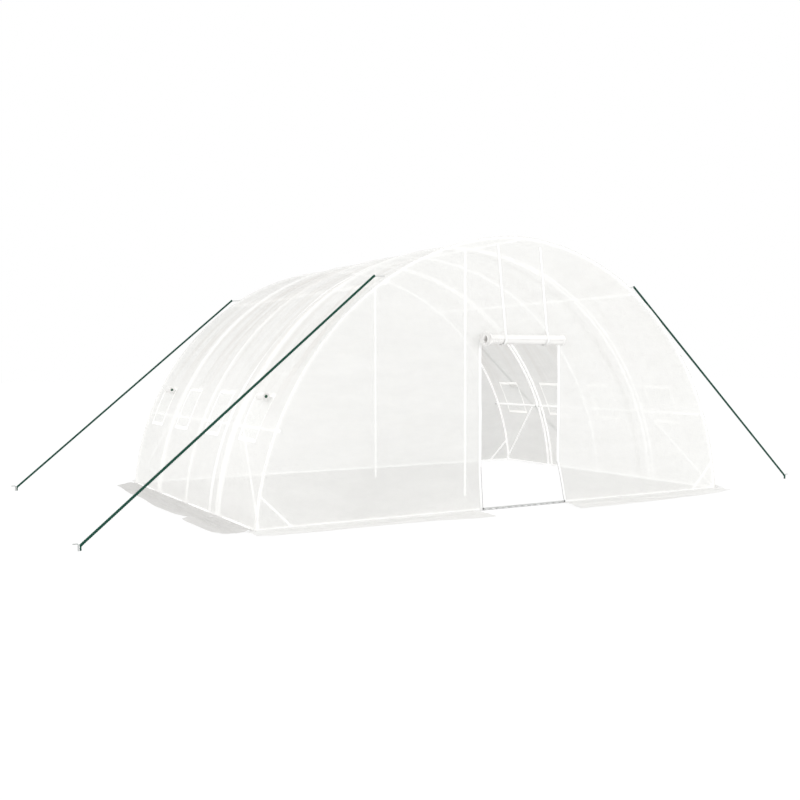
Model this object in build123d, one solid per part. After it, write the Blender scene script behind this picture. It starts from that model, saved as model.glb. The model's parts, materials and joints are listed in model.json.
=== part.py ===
from build123d import *
import os
from math import asin, atan2, cos, degrees, hypot, pi, radians, sin, sqrt

# Polytunnel greenhouse, in millimetres: X across the gables, Y from front to back, Z up.
# The origin is on the ground, at the middle of the footprint.

# Cover and arches
span = 6000.0               # outside of the cover across the ground
height = 2850.0             # outside of the cover at the ridge
tunnel_length = 4000.0      # centre of the front arch to centre of the rear arch
bend_radius = 3085.0        # outside of the cover, each half of the arch bent to one radius
film = 3.0                  # thickness of the reinforced film
seat = 0.3                  # clearance of pieces that lie against each other
tube = 25.0                 # arches, purlins, rails and poles
brace_tube = 20.0
arch_sides = 6              # round tubes are drawn with few sides, the long bent arches with fewest
bar_sides = 8
roll_sides = 12
double_spread = 75.0        # centre to centre of the two tubes of a double arch
end_bay = 1000.0            # gable arch to the double arch

# Purlin and vent heights on the cover
upper_purlin_drop = 520.0   # below the ridge
mid_purlin_height = 920.0
vent_sill = 810.0
vent_head = 1215.0
vent_width = 395.0
vent_places = (0.1475, 0.4025, 0.655, 0.8925)   # middles, along the tunnel from the front arch
net = 1.0
cover_joints = (0.16, 0.40, 0.68)   # above the vents, along the bend from the vent heads to the ridge
below_ground = -10.0        # angle on the bend, under the ground
over_ridge = 12.0           # each half is bent this much further than the ridge, then cut there

# Short rolls of the vent covers, at the end vents only
roll_diameter = 84.0
roll_length = 170.0
roll_places = (0.125, 0.865)
roll_height = 1192.0        # on the cover, behind the middle of the roll
rod_diameter = 30.0
rod_stick_out = 4.0

# Doorway in the front gable
door_left = -490.0
door_right = 520.0
door_height = 1745.0
door_flare = 110.0          # the film stands open at the foot of the right jamb
flare_height = 450.0
zip_width = 18.0
zip_thick = 3.0
door_roll_diameter = 100.0
door_roll_length = 1120.0
door_roll_shift = 75.0      # middle of the roll from the tunnel's centre line
strap_width = 28.0
strap_thick = 2.0
strap_top = 2750.0
strap_heads = (-283.0, 272.0)
strap_lean = 100.0          # how far the foot of a strap stands to the right of its head
strap_gap = 10.0            # foot of a strap above the roll

# Braces
side_brace_top = 120.0      # short of the double arch
corner_brace_reach = 320.0

# Skirts, ropes and pegs
skirt_width = 300.0
rope = 14.0
rope_drop = 475.0           # below the ridge
rope_inset = 80.0           # from the gable arches to where the ropes leave the cover
rope_stub = 110.0           # level loop between the cover and the rope
rope_bend = 45.0
front_reach = 1564.0        # ends of the ropes from the foot of the cover
rear_reach = 1434.0
front_left_past = 115.0     # ends of the ropes past the gable arches, along the tunnel
front_right_past = -200.0
rear_past = 35.0
peg = 16.0
peg_height = 62.0
rope_foot = 45.0            # where the rope meets its peg

tube_radius = tube / 2
arch_reach = tube_radius / cos(pi / arch_sides)    # an arch's edge along Y, from its centre line
half_span = span / 2
half_length = tunnel_length / 2
front_double = -half_length + end_bay      # middle of each double arch
rear_double = half_length - end_bay

# The bend centre of the right half lies left of the middle, so the halves meet in a low peak.
chord = hypot(half_span, height)
chord_rise = sqrt(bend_radius ** 2 - (chord / 2) ** 2)
bend_x = half_span / 2 - chord_rise * height / chord
bend_z = height / 2 - chord_rise * half_span / chord
ridge_angle = degrees(atan2(height - bend_z, -bend_x))
past_ridge = ridge_angle + over_ridge

cover_inside = bend_radius - film
arch_line = cover_inside - seat - tube_radius
purlin_line = arch_line - tube - seat
gable_inside = half_length + arch_reach + seat
gable_outside = gable_inside + film
arch_places = {
    "front_arch": [-half_length],
    "front_double_arch": [front_double - double_spread / 2, front_double + double_spread / 2],
    "middle_arch": [0.0],
    "rear_double_arch": [rear_double - double_spread / 2, rear_double + double_spread / 2],
    "rear_arch": [half_length],
}


def angle_at_height(z, radius):
    return degrees(asin((z - bend_z) / radius))


def side_x(z, radius):
    """Distance from the centre line to an arc of the given radius at height z."""
    return bend_x + sqrt(radius ** 2 - (z - bend_z) ** 2)


def top_z(x, radius):
    return bend_z + sqrt(radius ** 2 - (x - bend_x) ** 2)


def both_sides(solid):
    return [solid, mirror(solid, about=Plane.YZ)]


def save(name, *solids):
    shape = solids[0] if len(solids) == 1 else Compound(children=list(solids))
    export_step(shape, f"parts/{name}.step")


def round_section(diameter, sides, turn=0.0):
    """Section of a tube, drawn with flat sides."""
    return RegularPolygon(diameter / 2, sides, major_radius=False, rotation=turn)


def bar(start, end, diameter, sides=bar_sides, facing=None):
    """Straight tube between two points, with one flat side turned to the direction facing."""
    line = Line(start, end)
    plane = Plane(origin=start, x_dir=facing, z_dir=line @ 1 - line @ 0)
    return extrude(plane * round_section(diameter, sides, turn=180 / sides), amount=line.length)


def slab(outline, front, back):
    """Outline in X and Z, made solid from the front to the back."""
    plane = Plane(origin=(0, back, 0), x_dir=(1, 0, 0), z_dir=(0, -1, 0))
    return extrude(plane * outline, amount=back - front)


def ring_part(inner, outer, start, end):
    """Part of a ring about the bend centre of the right half, between two angles."""
    centre = (bend_x, bend_z)
    outer_arc = CenterArc(centre, outer, start, end - start)
    inner_arc = CenterArc(centre, inner, start, end - start)
    foot = Line(inner_arc @ 0, outer_arc @ 0)
    head = Line(inner_arc @ 1, outer_arc @ 1)
    return make_face([outer_arc, foot, inner_arc, head])


def right_quarter():
    """The part of the gable plane right of the middle and above the ground."""
    return Pos(span / 2, height) * Rectangle(span, 2 * height)


def band(inner, outer, start, end, front, back):
    """Arched band on the right side, cut square at the ground and at the ridge."""
    return slab(ring_part(inner, outer, start, end) & right_quarter(), front, back)


def half_arch(y, diameter=tube):
    """Right half of a bent tube, from the ground to the ridge."""
    start = angle_at_height(-tube, arch_line)
    path = CenterArc((bend_x, bend_z), arch_line, start, past_ridge - start)
    plane = Plane(origin=(0, y, 0), x_dir=(1, 0, 0), z_dir=(0, -1, 0))
    path = plane * path
    section = Plane(origin=path @ 0, x_dir=(0, 1, 0), z_dir=path % 0) * round_section(diameter, arch_sides)
    bent = sweep(section, path=path)
    keep = Pos(span / 2, y, height) * Box(span, 4 * tube, 2 * height)
    return bent & keep


def arch(y):
    half = half_arch(y)
    return half + mirror(half, about=Plane.YZ)


os.makedirs("parts", exist_ok=True)

# Arches
for name, places in arch_places.items():
    save(name, *[arch(y) for y in places])

# Ground rails run between the arches, so each length ends against a tube and clears the leaning film
foot_x = min(side_x(0, arch_line), side_x(tube, arch_line))
all_arches = sorted(y for places in arch_places.values() for y in places)
rail_gap = arch_reach + seat
right_rails = [
    bar((foot_x, here + rail_gap, tube_radius), (foot_x, there - rail_gap, tube_radius), tube)
    for here, there in zip(all_arches, all_arches[1:])
]
save("right_base_rail", *right_rails)
save("left_base_rail", *[mirror(rail, about=Plane.YZ) for rail in right_rails])

rail_end = side_x(tube, arch_line) - tube_radius - seat
door_foot_right = door_right + door_flare
save(
    "front_base_rail",
    bar((-rail_end, -half_length, tube_radius), (door_left, -half_length, tube_radius), tube),
    bar((door_foot_right, -half_length, tube_radius), (rail_end, -half_length, tube_radius), tube),
)
save("back_base_rail", bar((-rail_end, half_length, tube_radius), (rail_end, half_length, tube_radius), tube))
threshold = bar((door_left, -half_length, tube_radius), (door_foot_right, -half_length, tube_radius), tube)
save("door_threshold", threshold)

# Purlins lie inside the arches
purlin_front = -half_length - arch_reach
purlin_back = -purlin_front


def purlin(cover_height):
    angle = radians(angle_at_height(cover_height, bend_radius))
    x = bend_x + purlin_line * cos(angle)
    z = bend_z + purlin_line * sin(angle)
    return bar((x, purlin_front, z), (x, purlin_back, z), tube, facing=(cos(angle), 0, sin(angle)))


save("upper_purlins", *both_sides(purlin(height - upper_purlin_drop)))
save("mid_purlins", *both_sides(purlin(mid_purlin_height)))
ridge_z = top_z(0, arch_line) - tube - seat
save("ridge_purlin", bar((0, purlin_front, ridge_z), (0, purlin_back, ridge_z), tube))

# Centre poles stand between the two tubes of each double arch
pole_top = ridge_z - tube_radius - seat
save("centre_poles", *[bar((0, y, 0), (0, y, pole_top), tube) for y in (front_double, rear_double)])

# Side braces rise from the feet of the gable arches to the mid purlins
brace_radius = brace_tube / 2
mid_angle = radians(angle_at_height(mid_purlin_height, bend_radius))
brace_line = arch_line - tube_radius - seat - brace_radius
brace_foot_z = tube + brace_radius
brace_head_z = bend_z + purlin_line * sin(mid_angle) - tube_radius - brace_tube
brace_foot = (side_x(brace_foot_z, brace_line), -half_length, brace_foot_z)
brace_head = (side_x(brace_head_z, brace_line), front_double - side_brace_top, brace_head_z)
front_right_brace = bar(brace_foot, brace_head, brace_tube)
front_braces = both_sides(front_right_brace)
save("side_braces", *front_braces, *[mirror(brace, about=Plane.XZ) for brace in front_braces])

# Corner braces stand in the gable planes, with their ends coped to the arch and the ground rail
corner_top = (side_x(corner_brace_reach, arch_line), -half_length, corner_brace_reach)
corner_end = (corner_top[0] - corner_brace_reach, -half_length, tube_radius)
cope = tube + 2 * seat
rail_cope = bar((0, -half_length, tube_radius), (half_span, -half_length, tube_radius), cope)
front_right_corner = bar(corner_top, corner_end, brace_tube) - half_arch(-half_length, cope) - rail_cope
front_corners = both_sides(front_right_corner)
save("corner_braces", *front_corners, *[mirror(brace, about=Plane.XZ) for brace in front_corners])

# Cover in arched bands, each side from the ground to the ridge
cover_front = -gable_inside
cover_back = gable_inside
sill_angle = angle_at_height(vent_sill, bend_radius)
head_angle = angle_at_height(vent_head, bend_radius)
upper_joints = [head_angle + share * (ridge_angle - head_angle) for share in cover_joints]
joints = [below_ground, sill_angle, head_angle, *upper_joints, past_ridge]
band_names = ["cover_foot_band", None, "cover_shoulder_band", "cover_haunch_band", "cover_upper_band"]
for name, start, end in zip(band_names, joints, joints[1:]):
    if name:
        save(name, *both_sides(band(cover_inside, bend_radius, start, end, cover_front, cover_back)))
crown = band(cover_inside, bend_radius, joints[-2], joints[-1], cover_front, cover_back)
save("cover_crown", crown + mirror(crown, about=Plane.YZ))

# Vents leave posts of film between them
vent_middles = [-half_length + place * tunnel_length for place in vent_places]
post_fronts = [cover_front] + [y + vent_width / 2 for y in vent_middles]
post_backs = [y - vent_width / 2 for y in vent_middles] + [cover_back]
posts = []
for front, back in zip(post_fronts, post_backs):
    posts += both_sides(band(cover_inside, bend_radius, sill_angle, head_angle, front, back))
save("cover_window_band", *posts)

net_inside = bend_radius - film / 2 - net / 2
net_outside = net_inside + net
nets = []
for y in vent_middles:
    front, back = y - vent_width / 2, y + vent_width / 2
    nets += both_sides(band(net_inside, net_outside, sill_angle, head_angle, front, back))
save("window_nets", *nets)

# The rolls lie against the film at the heads of the end vents, on rods that show at both ends
roll_line = bend_radius + seat + roll_diameter / 2
roll_angle = radians(angle_at_height(roll_height, bend_radius))
roll_x = bend_x + roll_line * cos(roll_angle)
roll_z = bend_z + roll_line * sin(roll_angle)
rolls = []
rods = []
for place in roll_places:
    y = -half_length + place * tunnel_length
    roll_start = (roll_x, y - roll_length / 2, roll_z)
    roll_end = (roll_x, y + roll_length / 2, roll_z)
    rolled = bar(roll_start, roll_end, roll_diameter, roll_sides)
    rolls += both_sides(rolled - bar(roll_start, roll_end, rod_diameter + 2 * seat))
    rod_start = (roll_x, y - roll_length / 2 - rod_stick_out, roll_z)
    rod_end = (roll_x, y + roll_length / 2 + rod_stick_out, roll_z)
    rods += both_sides(bar(rod_start, rod_end, rod_diameter))
save("window_cover_rolls", *rolls)
save("window_roll_rods", *rods)

# Gables
half_outline = Pos(bend_x, bend_z) * Circle(bend_radius) & right_quarter()
gable_outline = half_outline + mirror(half_outline, about=Plane.YZ)
save("back_gable", slab(gable_outline, gable_inside, gable_outside))
left_jamb = Pos(door_left - span / 2, height) * Rectangle(span, 2 * height)
right_jamb = make_face(
    Polyline(
        (door_right, 2 * height),
        (door_right, flare_height),
        (door_right + door_flare, 0),
        (span, 0),
        (span, 2 * height),
        close=True,
    )
)
door_middle = (door_left + door_right) / 2
door_width = door_right - door_left
over_door = Pos(door_middle, door_height + height) * Rectangle(door_width, 2 * height)
save("front_gable_left", slab(gable_outline & left_jamb, -gable_outside, -gable_inside))
save("front_gable_right", slab(gable_outline & right_jamb, -gable_outside, -gable_inside))
save("front_gable_top", slab(gable_outline & over_door, -gable_outside, -gable_inside))

# Zips lie on the film beside the doorway
zip_top = door_height
zip_foot = film + seat
zip_middle = (zip_top + zip_foot) / 2
left_zip = Pos(door_left - zip_width / 2, zip_middle) * Rectangle(zip_width, zip_top - zip_foot)
zip_foot_x = door_right + door_flare * (flare_height - zip_foot) / flare_height
right_zip = make_face(
    Polyline(
        (door_right, zip_top),
        (door_right, flare_height),
        (zip_foot_x, zip_foot),
        (zip_foot_x + zip_width, zip_foot),
        (door_right + zip_width, flare_height),
        (door_right + zip_width, zip_top),
        close=True,
    )
)
zip_front = -gable_outside - zip_thick
save("door_zips", slab(left_zip, zip_front, -gable_outside), slab(right_zip, zip_front, -gable_outside))

# The rolled-up door hangs over the head of the doorway
door_roll_y = -gable_outside - seat - door_roll_diameter / 2
door_roll_z = door_height + door_roll_diameter / 2
door_roll_left = door_roll_shift - door_roll_length / 2
door_roll_right = door_roll_left + door_roll_length
rolled_door = bar(
    (door_roll_left, door_roll_y, door_roll_z),
    (door_roll_right, door_roll_y, door_roll_z),
    door_roll_diameter,
    2 * roll_sides,
)
save("door_roll", rolled_door)

# Two straps hold the roll
strap_foot = door_roll_z + door_roll_diameter / 2 + strap_gap
straps = []
for head in strap_heads:
    outline = make_face(
        Polyline(
            (head - strap_width / 2, strap_top),
            (head + strap_width / 2, strap_top),
            (head + strap_lean + strap_width / 2, strap_foot),
            (head + strap_lean - strap_width / 2, strap_foot),
            close=True,
        )
    )
    straps.append(slab(outline, -gable_outside - strap_thick, -gable_outside))
save("door_straps", *straps)

# Skirts lie outwards on the ground, clear of each other at the corners
skirt_inside = half_span + seat
skirt_outside = half_span + skirt_width
side_skirt_middle = (skirt_inside + skirt_outside) / 2
side_skirt = Pos(side_skirt_middle, 0, film / 2) * Box(skirt_outside - skirt_inside, 2 * gable_outside, film)
save("side_skirts", *both_sides(side_skirt))
gable_skirt_y = gable_outside + seat + skirt_width / 2
back_skirt = Pos(0, gable_skirt_y, film / 2) * Box(span, skirt_width, film)
save("back_skirt", back_skirt)
left_skirt_width = half_span + door_left
right_skirt_width = half_span - door_foot_right
save(
    "front_skirts",
    Pos(-half_span + left_skirt_width / 2, -gable_skirt_y, film / 2) * Box(left_skirt_width, skirt_width, film),
    Pos(half_span - right_skirt_width / 2, -gable_skirt_y, film / 2) * Box(right_skirt_width, skirt_width, film),
)

# Guy ropes leave the cover level beside the gable arches and run down to pegs
rope_height = height - rope_drop
rope_start = side_x(rope_height - rope / 2, bend_radius) + 2 * seat


def guy(y, reach, end_y):
    """Rope and peg on the right side, with the rope's end at the given reach."""
    rope_end = half_span + reach
    route = FilletPolyline(
        (rope_start, y, rope_height),
        (rope_start + rope_stub, y, rope_height),
        (rope_end, end_y, rope_foot),
        radius=rope_bend,
    )
    plane = Plane(origin=route @ 0, x_dir=(0, 1, 0), z_dir=route % 0)
    rope_solid = sweep(plane * round_section(rope, bar_sides, turn=180 / bar_sides), path=route)
    heading = atan2(end_y - y, rope_end - rope_start - rope_stub)
    level_run = hypot(end_y - y, rope_end - rope_start - rope_stub)
    slope = atan2(rope_height - rope_foot, level_run)
    clear = rope / 2 * sin(slope) + seat + peg / 2
    peg_x = rope_end + clear * cos(heading)
    peg_y = end_y + clear * sin(heading)
    return rope_solid, bar((peg_x, peg_y, 0), (peg_x, peg_y, peg_height), peg)


ropes = []
pegs = []
for end, reach, left_past, right_past in (
    (-1, front_reach, front_left_past, front_right_past),
    (1, rear_reach, rear_past, rear_past),
):
    y = end * (half_length - rope_inset)
    right_rope, right_peg = guy(y, reach, end * (half_length + right_past))
    left_guy = guy(y, reach, end * (half_length + left_past))
    left_rope, left_peg = [mirror(solid, about=Plane.YZ) for solid in left_guy]
    ropes += [left_rope, right_rope]
    pegs += [left_peg, right_peg]
save("guy_ropes", *ropes)
save("guy_pegs", *pegs)
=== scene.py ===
import json
import math
import random

import bmesh
import bpy
from mathutils import Matrix, Vector, noise
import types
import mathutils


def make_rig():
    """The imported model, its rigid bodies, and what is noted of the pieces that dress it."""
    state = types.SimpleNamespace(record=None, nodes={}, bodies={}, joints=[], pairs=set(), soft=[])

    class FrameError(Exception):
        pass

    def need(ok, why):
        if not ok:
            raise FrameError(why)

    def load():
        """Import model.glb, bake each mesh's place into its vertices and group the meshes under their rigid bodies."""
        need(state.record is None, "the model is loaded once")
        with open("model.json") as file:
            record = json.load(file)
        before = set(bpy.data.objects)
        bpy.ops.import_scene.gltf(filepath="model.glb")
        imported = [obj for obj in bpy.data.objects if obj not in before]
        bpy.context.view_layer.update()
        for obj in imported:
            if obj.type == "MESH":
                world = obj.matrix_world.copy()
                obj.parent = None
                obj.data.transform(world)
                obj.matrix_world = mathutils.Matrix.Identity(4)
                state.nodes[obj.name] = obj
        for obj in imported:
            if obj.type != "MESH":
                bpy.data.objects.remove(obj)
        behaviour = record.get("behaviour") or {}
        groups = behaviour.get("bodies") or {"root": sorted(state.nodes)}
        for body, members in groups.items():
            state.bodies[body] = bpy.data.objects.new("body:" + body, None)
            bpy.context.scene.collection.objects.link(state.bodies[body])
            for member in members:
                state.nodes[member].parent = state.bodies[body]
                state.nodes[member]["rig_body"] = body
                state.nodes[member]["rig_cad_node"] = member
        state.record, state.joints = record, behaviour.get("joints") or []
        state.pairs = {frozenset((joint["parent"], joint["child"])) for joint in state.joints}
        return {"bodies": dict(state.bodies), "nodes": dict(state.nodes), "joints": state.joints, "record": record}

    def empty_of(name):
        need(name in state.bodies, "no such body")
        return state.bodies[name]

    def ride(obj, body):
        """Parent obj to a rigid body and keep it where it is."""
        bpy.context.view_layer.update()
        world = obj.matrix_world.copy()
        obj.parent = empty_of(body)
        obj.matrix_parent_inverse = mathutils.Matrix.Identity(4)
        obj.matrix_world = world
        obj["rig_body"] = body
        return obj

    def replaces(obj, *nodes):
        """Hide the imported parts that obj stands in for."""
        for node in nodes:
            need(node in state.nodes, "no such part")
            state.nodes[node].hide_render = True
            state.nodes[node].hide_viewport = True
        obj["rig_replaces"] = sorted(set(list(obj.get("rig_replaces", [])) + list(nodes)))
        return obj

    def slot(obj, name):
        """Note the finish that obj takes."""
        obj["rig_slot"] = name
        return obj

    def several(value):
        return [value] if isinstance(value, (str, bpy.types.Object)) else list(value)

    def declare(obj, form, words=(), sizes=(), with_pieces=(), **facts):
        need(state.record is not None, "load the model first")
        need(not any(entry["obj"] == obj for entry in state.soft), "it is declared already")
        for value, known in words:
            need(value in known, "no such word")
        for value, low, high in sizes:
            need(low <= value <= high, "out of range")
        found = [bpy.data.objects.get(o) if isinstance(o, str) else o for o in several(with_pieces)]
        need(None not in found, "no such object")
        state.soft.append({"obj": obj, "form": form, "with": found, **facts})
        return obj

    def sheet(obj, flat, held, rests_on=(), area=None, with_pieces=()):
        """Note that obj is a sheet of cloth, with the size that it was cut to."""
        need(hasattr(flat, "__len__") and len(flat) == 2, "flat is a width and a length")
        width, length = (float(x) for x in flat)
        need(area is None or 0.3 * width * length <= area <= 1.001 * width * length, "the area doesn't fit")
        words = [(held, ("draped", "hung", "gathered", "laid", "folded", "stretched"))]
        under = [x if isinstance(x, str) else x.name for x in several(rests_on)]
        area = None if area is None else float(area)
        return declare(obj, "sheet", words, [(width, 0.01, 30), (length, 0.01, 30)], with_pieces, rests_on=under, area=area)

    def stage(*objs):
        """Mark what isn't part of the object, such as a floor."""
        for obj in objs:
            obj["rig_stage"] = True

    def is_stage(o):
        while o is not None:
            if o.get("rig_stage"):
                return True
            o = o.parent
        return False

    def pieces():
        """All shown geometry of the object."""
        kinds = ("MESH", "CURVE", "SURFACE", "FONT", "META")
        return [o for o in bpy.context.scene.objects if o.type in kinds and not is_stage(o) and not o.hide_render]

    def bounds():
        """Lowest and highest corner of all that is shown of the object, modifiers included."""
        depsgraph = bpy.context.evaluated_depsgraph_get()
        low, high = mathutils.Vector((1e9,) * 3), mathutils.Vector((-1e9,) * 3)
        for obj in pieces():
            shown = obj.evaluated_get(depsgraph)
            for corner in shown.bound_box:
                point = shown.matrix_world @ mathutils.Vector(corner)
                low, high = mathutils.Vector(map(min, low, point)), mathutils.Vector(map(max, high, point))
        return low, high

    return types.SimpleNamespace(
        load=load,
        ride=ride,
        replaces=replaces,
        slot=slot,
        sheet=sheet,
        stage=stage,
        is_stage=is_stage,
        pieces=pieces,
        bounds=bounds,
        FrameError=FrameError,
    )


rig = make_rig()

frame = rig.load()
cadLow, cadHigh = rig.bounds()
scene = bpy.context.scene


def deselect():
    bpy.ops.object.select_all(action="DESELECT")


deselect()
print("frame loaded:", len(frame["nodes"]), "nodes")

shot = {
    "place": (-6.179, -9.804, 1.5),
    "turn": 28.67,      # degrees from +Y towards +X
    "down": 2.38,
    "roll": -0.17,
    "focal": 930.3,     # pixels of the 800 pixel frame
    "middle": (359.1, 404.5),
    "frame": 800,
}


def addCamera():
    lens = bpy.data.cameras.new("camera")
    lens.sensor_width = 36
    lens.lens = lens.sensor_width * shot["focal"] / shot["frame"]
    lens.shift_x = (shot["frame"] / 2 - shot["middle"][0]) / shot["frame"]
    lens.shift_y = (shot["middle"][1] - shot["frame"] / 2) / shot["frame"]
    camera = bpy.data.objects.new("camera", lens)
    turn = Matrix.Rotation(-math.radians(shot["turn"]), 4, "Z")
    tilt = Matrix.Rotation(math.radians(90 - shot["down"]), 4, "X")
    roll = Matrix.Rotation(math.radians(shot["roll"]), 4, "Z")
    camera.matrix_world = Matrix.Translation(shot["place"]) @ turn @ tilt @ roll
    scene.collection.objects.link(camera)
    scene.camera = camera


addCamera()
scene.view_settings.view_transform = "Standard"
print("camera placed")


# A shader value that can stand in a Python expression
class Wire:
    def __init__(self, tree, socket):
        self.tree = tree
        self.socket = socket

    def maths(self, operation, *values):
        node = self.tree.nodes.new("ShaderNodeMath")
        node.operation = operation
        for place, value in zip(node.inputs, values):
            plug(self.tree, place, value)
        return Wire(self.tree, node.outputs[0])

    def __add__(self, other):
        return self.maths("ADD", self, other)

    def __radd__(self, other):
        return self.maths("ADD", other, self)

    def __sub__(self, other):
        return self.maths("SUBTRACT", self, other)

    def __rsub__(self, other):
        return self.maths("SUBTRACT", other, self)

    def __mul__(self, other):
        return self.maths("MULTIPLY", self, other)

    def __rmul__(self, other):
        return self.maths("MULTIPLY", other, self)

    def __truediv__(self, other):
        return self.maths("DIVIDE", self, other)

    def __gt__(self, other):
        return self.maths("GREATER_THAN", self, other)

    def __lt__(self, other):
        return self.maths("LESS_THAN", self, other)


def plug(tree, place, value):
    if isinstance(value, Wire):
        tree.links.new(value.socket, place)
    else:
        place.default_value = value


# The nodes of one material or of the world
class Board:
    def __init__(self, tree):
        self.tree = tree
        tree.nodes.clear()

    # settings are set first, then the sockets, by name or number
    def add(self, kind, settings=None, inputs=None, output=0):
        node = self.tree.nodes.new(kind)
        for name, value in (settings or {}).items():
            if name == "stops":
                ramp = node.color_ramp
                while len(ramp.elements) < len(value):
                    ramp.elements.new(0.5)
                for stop, (place, colour) in zip(ramp.elements, value):
                    stop.position = place
                    stop.color = (*colour, 1)
            else:
                setattr(node, name, value)
        for name, value in (inputs or {}).items():
            plug(self.tree, node.inputs[name], value)
        return Wire(self.tree, node.outputs[output])

    def mixColour(self, share, first, second):
        settings = {"data_type": "RGBA"}
        return self.add("ShaderNodeMix", settings, {0: share, 6: first, 7: second}, output=2)

    def limit(self, value, low=0.0, high=1.0):
        return self.add("ShaderNodeClamp", None, {0: value, 1: low, 2: high})

    def finish(self, shader, kind="ShaderNodeOutputMaterial"):
        output = self.tree.nodes.new(kind)
        plug(self.tree, output.inputs["Surface"], shader)


def newMaterial(name):
    material = bpy.data.materials.new(name)
    material.use_nodes = True
    return material, Board(material.node_tree)


studio = {
    "sky": 0.99,            # level of the room light
    "skyColour": (1.0, 1.0, 0.998, 1),
    "keyLevel": 392,
    "keyPlace": (7.0, -12.0, 4.5),
    "keySize": 7.0,
    "fillLevel": 402,
    "fillPlace": (-12, -6, 5.5),
    "fillSize": 8.0,
    "keyAim": (0, 0, 1.0),
    "white": (1, 1, 1, 1),
    "floorSize": 160,
    "floorDepth": 0.001,    # the floor lies this far under the object
    "floorColour": (0.8, 0.8, 0.8, 1),
    # painted shade: floor and room are coloured grey where they are seen through film, as if in the tunnel's shade
    "veiledFloor": (0.63, 0.625, 0.615, 1),    # where the floor is seen through film
    "veiledSky": (0.6, 0.595, 0.585, 1),       # and where the room is
    "whiteShare": 0.86,     # how far the floor goes over to white where it is seen
    "whiteLevel": 1.06,
}


# Rays from the camera, rays that should meet the white room, and rays that came through film
def sortRays(board):
    seen, glossy, clear, veils = (
        board.add("ShaderNodeLightPath", output=ray)
        for ray in ("Is Camera Ray", "Is Glossy Ray", "Is Transmission Ray", "Transparent Depth")
    )
    return seen, board.limit(seen + glossy + clear), board.limit(veils)


def addLamp(name, place, aim, size, level):
    lamp = bpy.data.lights.new(name, "AREA")
    lamp.shape = "DISK"
    lamp.size = size
    lamp.energy = level
    holder = bpy.data.objects.new(name, lamp)
    holder.location = place
    holder.rotation_euler = (Vector(aim) - Vector(place)).to_track_quat("-Z", "Y").to_euler()
    scene.collection.objects.link(holder)


def buildStudio():
    world = bpy.data.worlds.new("room")
    scene.world = world
    world.use_nodes = True
    board = Board(world.node_tree)
    seen, direct, veiled = sortRays(board)
    # painted shade: the room is grey where it is seen through film
    backdrop = board.mixColour(seen * veiled, studio["white"], studio["veiledSky"])
    sky = board.add("ShaderNodeBackground", None, {0: studio["skyColour"], 1: studio["sky"]})
    white = board.add("ShaderNodeBackground", None, {0: backdrop, 1: 1.0})
    mixed = board.add("ShaderNodeMixShader", None, {0: direct, 1: sky, 2: white})
    board.finish(mixed, "ShaderNodeOutputWorld")

    addLamp("key", studio["keyPlace"], studio["keyAim"], studio["keySize"], studio["keyLevel"])
    addLamp("fill", studio["fillPlace"], studio["keyAim"], studio["fillSize"], studio["fillLevel"])

    bpy.ops.mesh.primitive_plane_add(size=studio["floorSize"], location=(0, 0, -studio["floorDepth"]))
    floor = bpy.context.object
    floor.name = "floor"
    material, board = newMaterial("paleFloor")
    seen, direct, veiled = sortRays(board)
    whiteShare = direct * (1 - veiled) * studio["whiteShare"]
    # painted shade: the floor is a darker grey where it is seen through film
    colour = board.mixColour(seen * veiled, studio["floorColour"], studio["veiledFloor"])
    matt = board.add("ShaderNodeBsdfDiffuse", None, {0: colour})
    white = board.add("ShaderNodeEmission", None, {0: studio["white"], 1: studio["whiteLevel"]})
    board.finish(board.add("ShaderNodeMixShader", None, {0: whiteShare, 1: matt, 2: white}))
    floor.data.materials.append(material)
    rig.stage(floor)
    deselect()


buildStudio()
print("room and lamps ready")

# Colour, how dense the film is, how much light shines through it, depth of its creases, and for one
# film the strength of the painted fold shade streaked on its roof, for another its painted glow
filmLooks = {
    "coverFilm": {
        "colour": (0.956, 0.953, 0.938, 1), "veil": 0.8, "through": 0.42, "bump": 0.14, "streaks": 0.9
    },
    "gableFilm": {"colour": (0.963, 0.963, 0.95, 1), "veil": 0.75, "through": 0.42, "bump": 0.3},
    "skirtFilm": {"colour": (0.905, 0.9, 0.885, 1), "veil": 0.95, "through": 0.1, "bump": 0.35},
    # painted shade: the left flaps take a darker copy of the skirt film, for the shade on that side
    "shadedFlapFilm": {"colour": (0.74, 0.73, 0.715, 1), "veil": 0.95, "through": 0.1, "bump": 0.35},
    "rolledFilm": {"colour": (0.915, 0.905, 0.89, 1), "veil": 1.0, "through": 0.03, "bump": 0.25},
    "seamFilm": {"colour": (0.985, 0.98, 0.97, 1), "veil": 0.92, "through": 0.05, "bump": 0.15},
    # painted glow: the hem film emits light, so the hems look brighter than their lighting gives
    "hemFilm": {"colour": (0.985, 0.98, 0.97, 1), "veil": 0.9, "through": 0.3, "bump": 0.15, "glow": 0.3},
}
scrim = {
    "cell": 0.011,          # pitch of the reinforcing threads
    "thread": 0.16,         # share of a cell that is thread
    "gloss": 0.42,
    "dull": 0.965,          # colour of the thin places, as a share of the film's
    # painted shade in the roof folds, as a share of the film's colour
    "paintedFoldShade": (0.89, 0.87, 0.855),
}
netting = {
    "cell": 0.006,
    "thread": 0.6,
    "through": 0.42,
    "dull": (0.9, 0.9, 0.885, 1),
    "colour": (0.96, 0.96, 0.945, 1),
}


def faded(colour, share):
    return tuple(part * share for part in colour[:3]) + (1,)


# Threads both ways across a sheet, from its flat places in metres
def addThreads(board, place, cell, thread):
    ways = [board.add("ShaderNodeSeparateXYZ", None, {0: place}, output=way) for way in (0, 1)]
    warp, weft = (board.add("ShaderNodeMath", {"operation": "FRACT"}, {0: way / cell}) for way in ways)
    return board.limit((warp < thread) + (weft < thread))
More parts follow.
